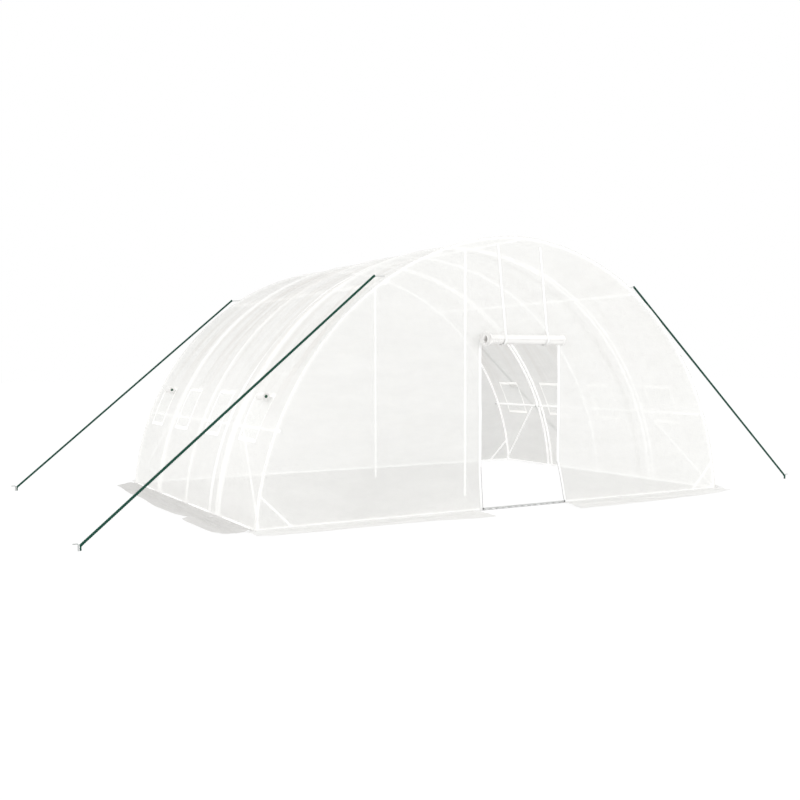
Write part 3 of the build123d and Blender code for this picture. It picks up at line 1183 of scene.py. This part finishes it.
ventRoll = {
    "places": (-1.5, 1.46),
    "length": 0.17,
    "seatHeight": 1.192,    # on the cover, behind the middle of the roll
    "core": 0.0175,
    "radius": 0.042,
    "turns": 3,
    "stepsPerTurn": 30,
    "thick": 0.0077,
    "softness": 0.0012,
    "step": 0.017,
    "rod": 0.015,
    "rodOut": 0.004,
    "rodRounding": 0.0025,
    "rodRim": 0.004,
    "rodDish": 0.003,
}


def rollAxis():
    angle = angleAt(ventRoll["seatHeight"], tunnel["bend"])
    line = tunnel["bend"] + tunnel["seat"] + ventRoll["radius"]
    return bendX + line * math.cos(angle), bendZ + line * math.sin(angle)


# The covers of the end vents, wound up short on dark green rods
def buildVentRolls():
    x, z = rollAxis()
    half = ventRoll["length"] / 2
    wound = math.pi * ventRoll["turns"] * (ventRoll["core"] + ventRoll["radius"])
    rods = []
    for side in (-1, 1):
        for middle in ventRoll["places"]:

            def rollPlace(y, along):
                share = along / wound
                turn = 2 * math.pi * ventRoll["turns"] * share
                radius = ventRoll["core"] + (ventRoll["radius"] - ventRoll["core"]) * share
                radius -= ventRoll["softness"] * (1 + noise.noise(Vector((y * 30, turn, middle)))) * share
                return Vector((side * (x + radius * math.cos(turn)), y, z + radius * math.sin(turn)))

            steps = ventRoll["turns"] * ventRoll["stepsPerTurn"]
            roll = buildSheet(
                ("left" if side < 0 else "right") + "Roll" + ("Front" if middle < 0 else "Rear"),
                spread(middle - half, middle + half, ventRoll["step"]),
                [wound * step / steps for step in range(steps + 1)],
                rollPlace,
                None,
                films["rolledFilm"],
            )
            if side < 0:
                roll.data.flip_normals()
            thicken(roll, ventRoll["thick"])
            finishSheet(
                roll, "rolled_film", ["window_cover_rolls"], (ventRoll["length"], wound), "folded", ["cover"]
            )
            rods.append(addRod(side * x, middle, z, half + ventRoll["rodOut"]))
    joinPieces("rollRods", rods, capGreen, ["window_roll_rods"], "roll_rod")


# A rod along Y with rounded, dished ends
def addRod(x, y, z, reachOut):
    deselect()
    bpy.ops.mesh.primitive_cylinder_add(vertices=24, radius=ventRoll["rod"], depth=2 * reachOut)
    rod = bpy.context.object
    bpy.ops.object.mode_set(mode="EDIT")
    pickFaces(rod, lambda middle, normal: abs(normal.z) > 0.9)
    bpy.ops.mesh.bevel(offset=ventRoll["rodRounding"], segments=3)
    pickFaces(rod, lambda middle, normal: abs(normal.z) > 0.99)
    bpy.ops.mesh.inset(thickness=ventRoll["rodRim"], use_individual=True)
    dished = 1 - ventRoll["rodDish"] / reachOut
    bpy.ops.transform.resize(value=(1, 1, dished), center_override=(0, 0, 0))
    bpy.ops.object.mode_set(mode="OBJECT")
    rod.data.transform(Matrix.Translation((x, y, z)) @ Matrix.Rotation(math.pi / 2, 4, "X"))
    return rod


buildVentRolls()
print("vent covers rolled up")

doorRoll = {
    "left": -0.497,
    "right": 0.528,
    "height": 1.767,        # middle of the roll
    "core": 0.018,
    "radius": 0.054,
    "turns": 7.5,
    "stepsPerTurn": 34,
    "softness": 0.0022,
    "thick": 0.0044,
    "mouthCore": 0.042,     # the left end stands open like a trumpet
    "mouthSqueeze": 0.44,   # its inner turns are pressed into a slot
    "mouthRadius": 0.078,
    "mouthLength": 0.08,
    "mouthTilt": 0.3,
    "ribsFrom": -0.41,
    "ribsTo": -0.24,
    "ribPitch": 0.024,
    "ribDepth": 0.0035,
    "lip": 0.006,           # the right end is a little wider
    "lipLength": 0.03,
    "gap": 0.003,
}


def doorRollShape(x):
    mouth = 1 - smooth(x, doorRoll["left"], doorRoll["left"] + doorRoll["mouthLength"])
    lip = doorRoll["lip"] * smooth(x, doorRoll["right"] - doorRoll["lipLength"], doorRoll["right"])
    core = doorRoll["core"] + (doorRoll["mouthCore"] - doorRoll["core"]) * mouth
    radius = doorRoll["radius"] + (doorRoll["mouthRadius"] - doorRoll["radius"]) * mouth + lip
    return core, radius, mouth


def doorRollMiddle(x):
    return -(tunnel["gable"] + doorRoll["gap"] + doorRollShape(x)[1])


def buildDoorRoll():
    wound = math.pi * doorRoll["turns"] * (doorRoll["core"] + doorRoll["radius"])
    steps = int(doorRoll["turns"] * doorRoll["stepsPerTurn"])

    def rollPlace(x, along):
        core, radius, mouth = doorRollShape(x)
        share = along / wound
        turn = 2 * math.pi * doorRoll["turns"] * share
        ribbed = smooth(x, doorRoll["ribsFrom"], doorRoll["ribsFrom"] + 0.02)
        ribbed *= 1 - smooth(x, doorRoll["ribsTo"] - 0.04, doorRoll["ribsTo"])
        rib = math.sin(2 * math.pi * x / doorRoll["ribPitch"]) * ribbed * doorRoll["ribDepth"]
        soft = doorRoll["softness"] * noise.noise(Vector((x * 7, turn * 0.8, 1.5)))
        at = core + (radius - core) * share + (rib + soft - doorRoll["ribDepth"] * ribbed) * share ** 2
        front = -at * math.cos(turn) * (1 - doorRoll["mouthSqueeze"] * mouth * (1 - share) ** 0.5)
        return Vector((
            x + doorRoll["mouthTilt"] * mouth * front,
            doorRollMiddle(x) - front,
            doorRoll["height"] + at * math.sin(turn),
        ))

    ribStart, ribEnd = doorRoll["ribsFrom"] - 0.005, doorRoll["ribsTo"] + 0.005
    lipStart = doorRoll["right"] - doorRoll["lipLength"]
    lines = spread(doorRoll["left"], ribStart, 0.01)[:-1] + spread(ribStart, ribEnd, 0.004)[:-1]
    lines += spread(ribEnd, lipStart, 0.035)[:-1] + spread(lipStart, doorRoll["right"], 0.008)
    windings = [wound * step / steps for step in range(steps + 1)]
    roll = buildSheet("doorRoll", lines, windings, rollPlace, None, films["rolledFilm"])
    roll.data.flip_normals()
    thicken(roll, doorRoll["thick"])
    finishSheet(
        roll,
        "rolled_film",
        ["door_roll"],
        (doorRoll["right"] - doorRoll["left"], wound),
        "folded",
        ["frontGable", "leftStrap", "rightStrap"],
    )


strap = {
    "width": 0.028,
    "top": 2.75,
    "heads": {"leftStrap": -0.283, "rightStrap": 0.272},
    "lean": 0.1,
    "leaveLean": -0.06,
    "loopLean": -0.035,
    "leave": 120,           # degrees round the roll where the strap comes onto it
    "end": 345,
    "wallSteps": 24,
    "roundSteps": 28,
    "acrossStep": 0.007,
    "alongStep": 0.012,
    "thick": 0.0014,
    "lift": 0.0035,
}


# A point at a distance along a run of points
def alongRun(run, distance):
    for first, second in zip(run, run[1:]):
        length = (second - first).length
        if distance <= length or second is run[-1]:
            return first.lerp(second, distance / length)
        distance -= length


def runLength(run):
    return sum((second - first).length for first, second in zip(run, run[1:]))


# Two straps come down the gable and pass round the front of the rolled door
def buildStraps():
    for name, head in strap["heads"].items():
        radius = doorRoll["radius"] + strap["lift"]
        wallY = -(tunnel["gable"] + strap["lift"])
        foot = head + strap["lean"]
        middleY = doorRollMiddle(foot)
        leave = math.radians(strap["leave"])
        leaveZ = doorRoll["height"] + radius * (1 - math.cos(leave)) / math.sin(leave)
        run = []
        for share in spread(0, 1, 1 / strap["wallSteps"]):
            z = strap["top"] + (leaveZ - strap["top"]) * share
            x = head + strap["lean"] * share
            run.append(Vector((x, wallY - gableWrinkle(x, z, 4), z)))
        for share in spread(0, 1, 1 / strap["roundSteps"]):
            turn = math.radians(strap["leave"] + (strap["end"] - strap["leave"]) * share)
            run.append(Vector((
                foot + strap["leaveLean"] + strap["loopLean"] * share,
                middleY + radius * math.cos(turn),
                doorRoll["height"] + radius * math.sin(turn),
            )))
        length = runLength(run)
        tape = buildSheet(
            name,
            spread(-strap["width"] / 2, strap["width"] / 2, strap["acrossStep"]),
            spread(0, length, strap["alongStep"]),
            lambda across, along: alongRun(run, along) + Vector((across, 0, 0)),
            None,
            webbingWhite,
        )
        tape.data.flip_normals()
        thicken(tape, strap["thick"])
        flat = (strap["width"], length)
        finishSheet(tape, "strap_webbing", ["door_straps"], flat, "hung", ["frontGable", "doorRoll"])


buildDoorRoll()
buildStraps()
print("door rolled up in its straps")

zipper = {
    "tape": 0.03,
    "lap": 0.004,           # the tape laps the edge of the doorway by this much
    "lift": 0.0016,
    "toothPitch": 0.0065,
    "tooth": (0.0042, 0.002, 0.003),
    "slider": (0.009, 0.008, 0.015),
    "sliderHeight": 0.022,
    "sliderLift": 0.012,
    "pullStep": 0.012,      # the pull tab leans outwards in two steps, each forwards and down
    "pullTab": ((0.006, 0.004), (0.008, 0.001)),
    "sillTape": 0.012,
    "sillHeight": 0.009,
    "sillLift": 0.016,      # from the threshold's middle
    "darkBelow": 0.46,      # the teeth below this height are dark, those above white
    "puckerPitch": 0.085,
    "pucker": 0.0068,
    "puckerLean": 1.6,
    "steps": (0.0085, 0.02),        # across and up the tapes of the jambs
    "sillSteps": (0.008, 0.003),    # along and up the tape of the sill
    "toothPoint": 0.0006,
    "sliderRounding": 0.002,
    "sliderRim": 0.0015,
}


def jambLine(side, z):
    if side < 0:
        return doorway["left"] + doorway["leftFlare"] * max(0, 1 - z / doorway["flareHeight"])
    return doorway["right"] + doorway["flare"] * max(0, 1 - z / doorway["flareHeight"])


def gableFront(x, z):
    return -tunnel["gable"] - gableWrinkle(x, z, 4)


# One mesh from a first piece and the places of its copies
def repeatMesh(name, first, places, material):
    source = first.data
    verts, faces = [], []
    for place in places:
        start = len(verts)
        verts += [place @ vertex.co for vertex in source.vertices]
        faces += [tuple(start + index for index in polygon.vertices) for polygon in source.polygons]
    bpy.data.objects.remove(first)
    return newPiece(name, verts, faces, material)


# A block to be shaped in edit mode
def startBlock(size):
    deselect()
    bpy.ops.mesh.primitive_cube_add(size=1, scale=size)
    block = bpy.context.object
    bpy.ops.object.transform_apply(location=True, rotation=True, scale=True)
    bpy.ops.object.mode_set(mode="EDIT")
    return block


def addTooth():
    tooth = startBlock(zipper["tooth"])
    pickFaces(tooth, lambda middle, normal: normal.y < -0.9)
    bpy.ops.mesh.inset(thickness=zipper["toothPoint"])
    bpy.ops.transform.translate(value=(0, -zipper["toothPoint"], 0))
    bpy.ops.object.mode_set(mode="OBJECT")
    return tooth


def sillWave(x):
    return zipper["pucker"] * math.sin(2 * math.pi * x / zipper["puckerPitch"])


# Zip tapes down both jambs and along the threshold, with a dark row of teeth
def buildZips():
    foot = tunnel["film"] + tunnel["seat"]
    teeth, upperTeeth = [], []
    count = int((doorway["height"] - foot) / zipper["toothPitch"])
    for side, name in ((-1, "leftZip"), (1, "rightZip")):

        def tapePlace(across, z):
            x = jambLine(side, z) + side * across
            return Vector((x, gableFront(x, z) - zipper["lift"], z))

        acrossLines = spread(-zipper["lap"], zipper["tape"], zipper["steps"][0])
        upLines = spread(foot, doorway["height"], zipper["steps"][1])
        tape = buildSheet(name, acrossLines, upLines, tapePlace, None, zipWhite)
        if side > 0:
            tape.data.flip_normals()
        flat = (zipper["tape"] + zipper["lap"], doorway["height"] - foot)
        finishSheet(tape, "zip_tape", ["door_zips"], flat, "stretched", ["frontGable"])
        for index in range(count):
            z = foot + zipper["toothPitch"] * (index + 0.5)
            x = jambLine(side, z)
            place = Matrix.Translation((x, gableFront(x, z) - zipper["lift"] - zipper["tooth"][1] / 2, z))
            (teeth if z < zipper["darkBelow"] else upperTeeth).append(place)
    halfLength = tunnel["length"] / 2
    sillLeft, sillRight = doorway["left"] + doorway["leftFlare"], doorway["right"] + doorway["flare"]
    sillTape = zipper["sillTape"]

    def sillPlace(x, up):
        pucker = sillWave(x + up * zipper["puckerLean"]) * math.sin(math.pi * up / sillTape)
        lift = zipper["sillLift"] + pucker
        return Vector((x, -halfLength - lift, zipper["sillHeight"] - sillTape / 2 + up))

    acrossLines = spread(sillLeft, sillRight, zipper["sillSteps"][0])
    upLines = spread(0, sillTape, zipper["sillSteps"][1])
    tape = buildSheet("sillZip", acrossLines, upLines, sillPlace, None, zipWhite)
    finishSheet(tape, "zip_tape", ["door_zips"], (sillRight - sillLeft, sillTape), "laid", ["doorThreshold"])
    sillCount = int((sillRight - sillLeft) / zipper["toothPitch"])
    for index in range(sillCount):
        x = sillLeft + zipper["toothPitch"] * (index + 0.5)
        for up in (0.0, sillTape):
            place = sillPlace(x, up) + Vector((0, -zipper["tooth"][1] / 2, 0))
            teeth.append(Matrix.Translation(place) @ Matrix.Rotation(math.pi / 2, 4, "Y"))
    for name, places, material in (("zipTeeth", teeth, toothDark), ("upperTeeth", upperTeeth, zipWhite)):
        row = repeatMesh(name, addTooth(), places, material)
        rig.ride(row, "root")
        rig.slot(row, "zip_tape")


# The zip sliders hang at the feet of the jambs
def buildSliders():
    sliders = []
    for side in (-1, 1):
        slider = startBlock(zipper["slider"])
        bpy.ops.mesh.select_all(action="SELECT")
        bpy.ops.mesh.bevel(offset=zipper["sliderRounding"], segments=2)
        pickFaces(slider, lambda middle, normal: normal.z < -0.9)
        bpy.ops.mesh.inset(thickness=zipper["sliderRim"])
        for forward, down in zipper["pullTab"]:
            step = (side * zipper["pullStep"], -forward, -down)
            bpy.ops.mesh.extrude_region_move(TRANSFORM_OT_translate={"value": step})
        bpy.ops.object.mode_set(mode="OBJECT")
        x = jambLine(side, 0.03)
        place = (x, gableFront(x, 0.03) - zipper["sliderLift"], zipper["sliderHeight"])
        slider.data.transform(Matrix.Translation(place))
        sliders.append(slider)
    joinPieces("zipSliders", sliders, toothDark, (), "zip_tape")


buildZips()
buildSliders()
print("zips sewn on")

skirts = {
    "step": 0.03,
    "outStep": 0.012,
    "lift": 0.004,
    "wave": 0.020,
    "ruffle": 0.006,
    "turnUp": 0.006,        # at the foot of the wall
    "wallGap": 0.003,
    "sideGap": 0.002,
    "splayLength": 0.6,
}
# Places along each skirt in metres, with how far it reaches from the wall
skirtCuts = {
    "rearFlap": {
        "wall": "left", "node": "side_skirts", "seed": 1,
        "reach": [
            (2.03, 0.12), (1.9, 0.26), (1.06, 0.32), (0.61, 0.3),
            (-0.11, 0.345), (-0.58, 0.33), (-0.86, 0.295), (-1.02, 0.235),
        ],
    },
    "frontFlap": {
        "wall": "left", "node": "side_skirts", "seed": 2,
        "reach": [
            (-1.018, 0.36), (-1.25, 0.367), (-1.51, 0.362), (-1.82, 0.35), (-1.98, 0.31), (-2.02, 0.26),
        ],
    },
    "rightSkirt": {
        "wall": "right", "node": "side_skirts", "seed": 3,
        "reach": [(2.03, 0.2), (1.5, 0.3), (0.4, 0.32), (-0.7, 0.3), (-1.6, 0.29), (-2.03, 0.16)],
    },
    "backSkirt": {
        "wall": "back", "node": "back_skirt", "seed": 4,
        "reach": [(-3.0, 0.26), (-1.4, 0.3), (0.2, 0.31), (1.7, 0.29), (3.0, 0.24)],
    },
    "frontLeftSkirt": {
        "wall": "front", "node": "front_skirts", "seed": 5,
        "reach": [
            (-3.08, 0.24), (-2.95, 0.29), (-2.24, 0.29), (-1.82, 0.285),
            (-1.31, 0.32), (-0.78, 0.385), (-0.57, 0.39),
        ],
    },
    "frontRightSkirt": {
        "wall": "front", "node": "front_skirts", "seed": 6,
        "reach": [
            (0.63, 0.43), (0.7, 0.443), (0.9, 0.445), (1.27, 0.43),
            (1.75, 0.39), (2.26, 0.335), (2.61, 0.3), (3.0, 0.235),
        ],
        "splay": -0.16,     # its end by the door swings out to the left
    },
}


def reachAt(cuts, place):
    ordered = sorted(cuts)
    for (first, low), (second, high) in zip(ordered, ordered[1:]):
        if place <= second or second == ordered[-1][0]:
            return low + (high - low) * smooth(place, first, second)


# Where a skirt starts on the ground, and the way it runs outwards
def wallPoint(wall, place):
    edge = tunnel["gable"] + skirts["wallGap"]
    if wall == "front":
        return Vector((place, -edge, 0)), Vector((0, -1, 0))
    if wall == "back":
        return Vector((place, edge, 0)), Vector((0, 1, 0))
    side = -1 if wall == "left" else 1
    return Vector((side * (halfSpan + skirts["sideGap"]), place, 0)), Vector((side, 0, 0))


def skirtHeight(place, out, share, seed):
    waves = noise.noise(Vector((place * 0.9, out * 9.0, seed * 3.1)))
    folds = 1 - abs(noise.noise(Vector((place * 1.7 + out * 2, out * 17.0, seed * 5.3)))) * 2
    ruffle = noise.noise(Vector((place * 7.0, out * 24.0, seed * 1.7)))
    held = smooth(share, 0.0, 0.25) * (1 - 0.55 * smooth(share, 0.75, 1.0))
    height = skirts["wave"] * max(0, 0.35 + waves) + skirts["ruffle"] * (folds + ruffle)
    turnUp = skirts["turnUp"] * (1 - smooth(share, 0.0, 0.12))
    return skirts["lift"] + max(0, height) * held + turnUp


# Film laid outwards on the ground from the foot of each wall
def buildSkirts():
    for name, cut in skirtCuts.items():
        cuts = sorted(cut["reach"])
        start, end = cuts[0][0], cuts[-1][0]
        widest = max(width for _, width in cuts)

        def skirtPlace(place, out):
            share = out / widest
            width = reachAt(cuts, place)
            foot, outward = wallPoint(cut["wall"], place)
            point = foot + outward * (width * share)
            nearEnd = 1 - smooth(place, start, start + skirts["splayLength"])
            point.x += cut.get("splay", 0) * share ** 0.7 * nearEnd
            point.z = skirtHeight(place, width * share, share, cut["seed"])
            return point

        # the left flaps take the darker film, painted shade
        sheet = buildSheet(
            name,
            spread(start, end, skirts["step"]),
            spread(0, widest, skirts["outStep"]),
            skirtPlace,
            None,
            films["shadedFlapFilm" if cut["wall"] == "left" else "skirtFilm"],
        )
        upward = sum(polygon.normal.z for polygon in sheet.data.polygons)
        if upward < 0:
            sheet.data.flip_normals()
        measured = spread(start, end, 0.02)
        area = sum(
            (reachAt(cuts, first) + reachAt(cuts, second)) / 2 * (second - first)
            for first, second in zip(measured, measured[1:])
        )
        finishSheet(sheet, "skirt_film", [cut["node"]], (end - start, widest), "laid", ["cover"], area)


buildSkirts()
print("skirts laid out")

guy = {
    "height": 2.375,
    "start": 1.92,          # place along the tunnel, either way from the middle
    "stub": 0.11,           # level loop between the cover and the rope
    "heldAway": (0.8, 0.6), # a head that is held off moves by these shares outwards and upwards
    "foot": 0.045,
    "rope": 0.014,
    "strands": 3,
    "strandRadius": 0.0069,
    "drawnIn": 0.35,        # the rope is this much thinner where it is tied down by the peg
    "loopRadius": 0.0038,
    "twist": 0.055,         # length of one turn of the strands
    "stepsPerTwist": 8,
    "strandSides": 6,
    "packed": 0.97,         # the strands press into each other a little
    "bend": 0.03,           # how far from its foot the rope starts to bend down
    "bendDrop": 0.014,
    "tail": 0.002,          # the rope's end hangs down the peg to this height
    "peg": 0.005,
    "pegTop": 0.06,
    "pegBend": 2.2,         # as a multiple of its radius
    "hook": 0.045,
    "knot": 0.0125,         # outer radius of a hitch
    "knotRope": 0.005,
    "knotStretch": 1.15,
    "knotPitch": 0.011,
    "knotPlaces": (0.012, 0.025),   # below the head, and below the start of the bend
    # Side, half, place of the end along the tunnel, its reach from the foot of the cover, and for one
    # rope how far its head is held off the arch
    "ends": {
        "FrontLeft": (-1, -1, -2.115, 1.564),
        "FrontRight": (1, -1, -1.8, 1.564, 0.036),
        "RearLeft": (-1, 1, 2.035, 1.434),
        "RearRight": (1, 1, 2.035, 1.434),
    },
}


# Points of a loop, a rope and the foot of its peg
def ropeRoute(side, half, endY, endReach, heldOff=0):
    y = half * guy["start"]
    start = sideAt(guy["height"] - guy["rope"] / 2, tunnel["bend"]) + 2 * tunnel["seat"]
    outwards, upwards = (heldOff * share for share in guy["heldAway"])
    head = Vector((start + guy["stub"] + outwards, y, guy["height"] + upwards))
    foot = Vector((halfSpan + endReach, endY, guy["foot"]))
    heading = Vector((foot.x - head.x, foot.y - head.y, 0)).normalized()
    peg = foot + heading * (2 * guy["strandRadius"] + guy["peg"])
    slope = (foot - head).normalized()
    before = foot - slope * guy["bend"]
    after = foot - Vector((0, 0, guy["bendDrop"]))
    route = [head, before]
    for share in (0.25, 0.5, 0.75, 1.0):
        route.append(before.lerp(foot, share).lerp(foot.lerp(after, share), share))
    route.append(Vector((foot.x, foot.y, guy["tail"])))
    loop = [Vector((start + 0.002, y, guy["height"])), head + slope * guy["knotPlaces"][0]]
    flip = Vector((side, 1, 1))
    return [point * flip for point in route], [point * flip for point in loop], peg * flip


# Points at even distances along a run
def evenly(run, step):
    length = runLength(run)
    count = max(2, round(length / step))
    points, index, walked = [], 0, 0.0
    for number in range(count + 1):
        distance = length * number / count
        while index < len(run) - 2 and walked + (run[index + 1] - run[index]).length < distance:
            walked += (run[index + 1] - run[index]).length
            index += 1
        part = (run[index + 1] - run[index]).length
        points.append(run[index].lerp(run[index + 1], min(1, (distance - walked) / part)))
    return points


# Strands twisted round a run of points, thinner by a share at its end
def layStrands(name, run, material, strandRadius, drawnIn=0):
    points = evenly(run, guy["twist"] / guy["stepsPerTwist"])
    sides, rings = guy["strandSides"], len(points)
    verts, faces = [], []
    for strand in range(guy["strands"]):
        upright = Vector((0, 1, 0))
        base = len(verts)
        for index, point in enumerate(points):
            ahead = points[min(index + 1, rings - 1)] - points[max(index - 1, 0)]
            ahead.normalize()
            upright = (upright - ahead * upright.dot(ahead)).normalized()
            across = ahead.cross(upright)
            turn = 2 * math.pi * (index / guy["stepsPerTwist"] + strand / guy["strands"])
            radius = strandRadius * (1 - drawnIn * smooth(index, rings - 10, rings - 5))
            off = (upright * math.cos(turn) + across * math.sin(turn)) * radius * guy["packed"]
            for corner in range(sides):
                angle = 2 * math.pi * corner / sides
                verts.append(point + off + (upright * math.cos(angle) + across * math.sin(angle)) * radius)
        for ring in range(rings - 1):
            for corner in range(sides):
                here, there = base + ring * sides, base + (ring + 1) * sides
                following = (corner + 1) % sides
                faces.append((here + corner, here + following, there + following, there + corner))
        faces.append(tuple(base + corner for corner in reversed(range(sides))))
        faces.append(tuple(base + (rings - 1) * sides + corner for corner in range(sides)))
    return newPiece(name, verts, faces, material, rounded=True)


# A steel peg with a hook that points away from the tunnel
def addPeg(place):
    side = 1 if place.x > 0 else -1
    deselect()
    bpy.ops.mesh.primitive_circle_add(vertices=12, radius=guy["peg"], fill_type="NGON")
    peg = bpy.context.object
    bend = guy["pegBend"] * guy["peg"]
    bpy.ops.object.mode_set(mode="EDIT")
    bpy.ops.mesh.select_all(action="SELECT")
    bpy.ops.mesh.extrude_region_move(TRANSFORM_OT_translate={"value": (0, 0, guy["pegTop"] - bend)})
    bpy.ops.mesh.spin(
        steps=8, angle=math.radians(90), center=(side * bend, 0, guy["pegTop"] - bend), axis=(0, -side, 0)
    )
    bpy.ops.mesh.extrude_region_move(TRANSFORM_OT_translate={"value": (side * (guy["hook"] - bend), 0, 0)})
    bpy.ops.mesh.select_all(action="SELECT")
    bpy.ops.mesh.normals_make_consistent(inside=False)
    bpy.ops.object.mode_set(mode="OBJECT")
    peg.data.transform(Matrix.Translation((place.x, place.y, 0)))
    return peg


# The rope's hitch, as two turns close together round a point
def addHitch(place, direction):
    turns = []
    for shift in (-0.5, 0.5):
        deselect()
        bpy.ops.mesh.primitive_torus_add(
            major_segments=20,
            minor_segments=8,
            major_radius=guy["knot"] - guy["knotRope"],
            minor_radius=guy["knotRope"],
        )
        ring = bpy.context.object
        bpy.ops.object.mode_set(mode="EDIT")
        bpy.ops.mesh.select_all(action="SELECT")
        bpy.ops.transform.resize(value=(1, 1, guy["knotStretch"]), center_override=(0, 0, 0))
        bpy.ops.object.mode_set(mode="OBJECT")
        ring.data.transform(standing(place + direction * shift * guy["knotPitch"], direction))
        turns.append(ring)
    return turns


def buildGuys():
    pegs, hitches = [], []
    for label, end in guy["ends"].items():
        route, loop, pegFoot = ropeRoute(*end)
        rope = layStrands("guyRope" + label, route, ropeGreen, guy["strandRadius"], guy["drawnIn"])
        link = layStrands("guyLoop" + label, loop, loopGrey, guy["loopRadius"])
        for piece in (rope, link):
            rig.ride(piece, "root")
            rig.replaces(piece, "guy_ropes")
            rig.slot(piece, "guy_rope")
        slope = (route[1] - route[0]).normalized()
        for point, past in zip(route, guy["knotPlaces"]):
            hitches += addHitch(point + slope * past, slope)
        pegs.append(addPeg(pegFoot))
    joinPieces("guyHitches", hitches, ropeGreen, (), "guy_rope")
    joinPieces("guyPegs", pegs, pegGrey, ["guy_pegs"], "peg_plastic")


buildGuys()
print("guy ropes and pegs placed")

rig.sheet(
    cover,
    flat=(coverWidth, coverLength),
    held="stretched",
    rests_on=["frontArch", "frontDoubleArch", "middleArch", "rearDoubleArch", "rearArch"],
    area=coverArea,
    with_pieces=[ventHems, coverSeams],
)

visualLow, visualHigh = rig.bounds()
with open("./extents.json", "w") as sizeFile:
    json.dump({"cad": [list(cadLow), list(cadHigh)], "visual": [list(visualLow), list(visualHigh)]}, sizeFile)
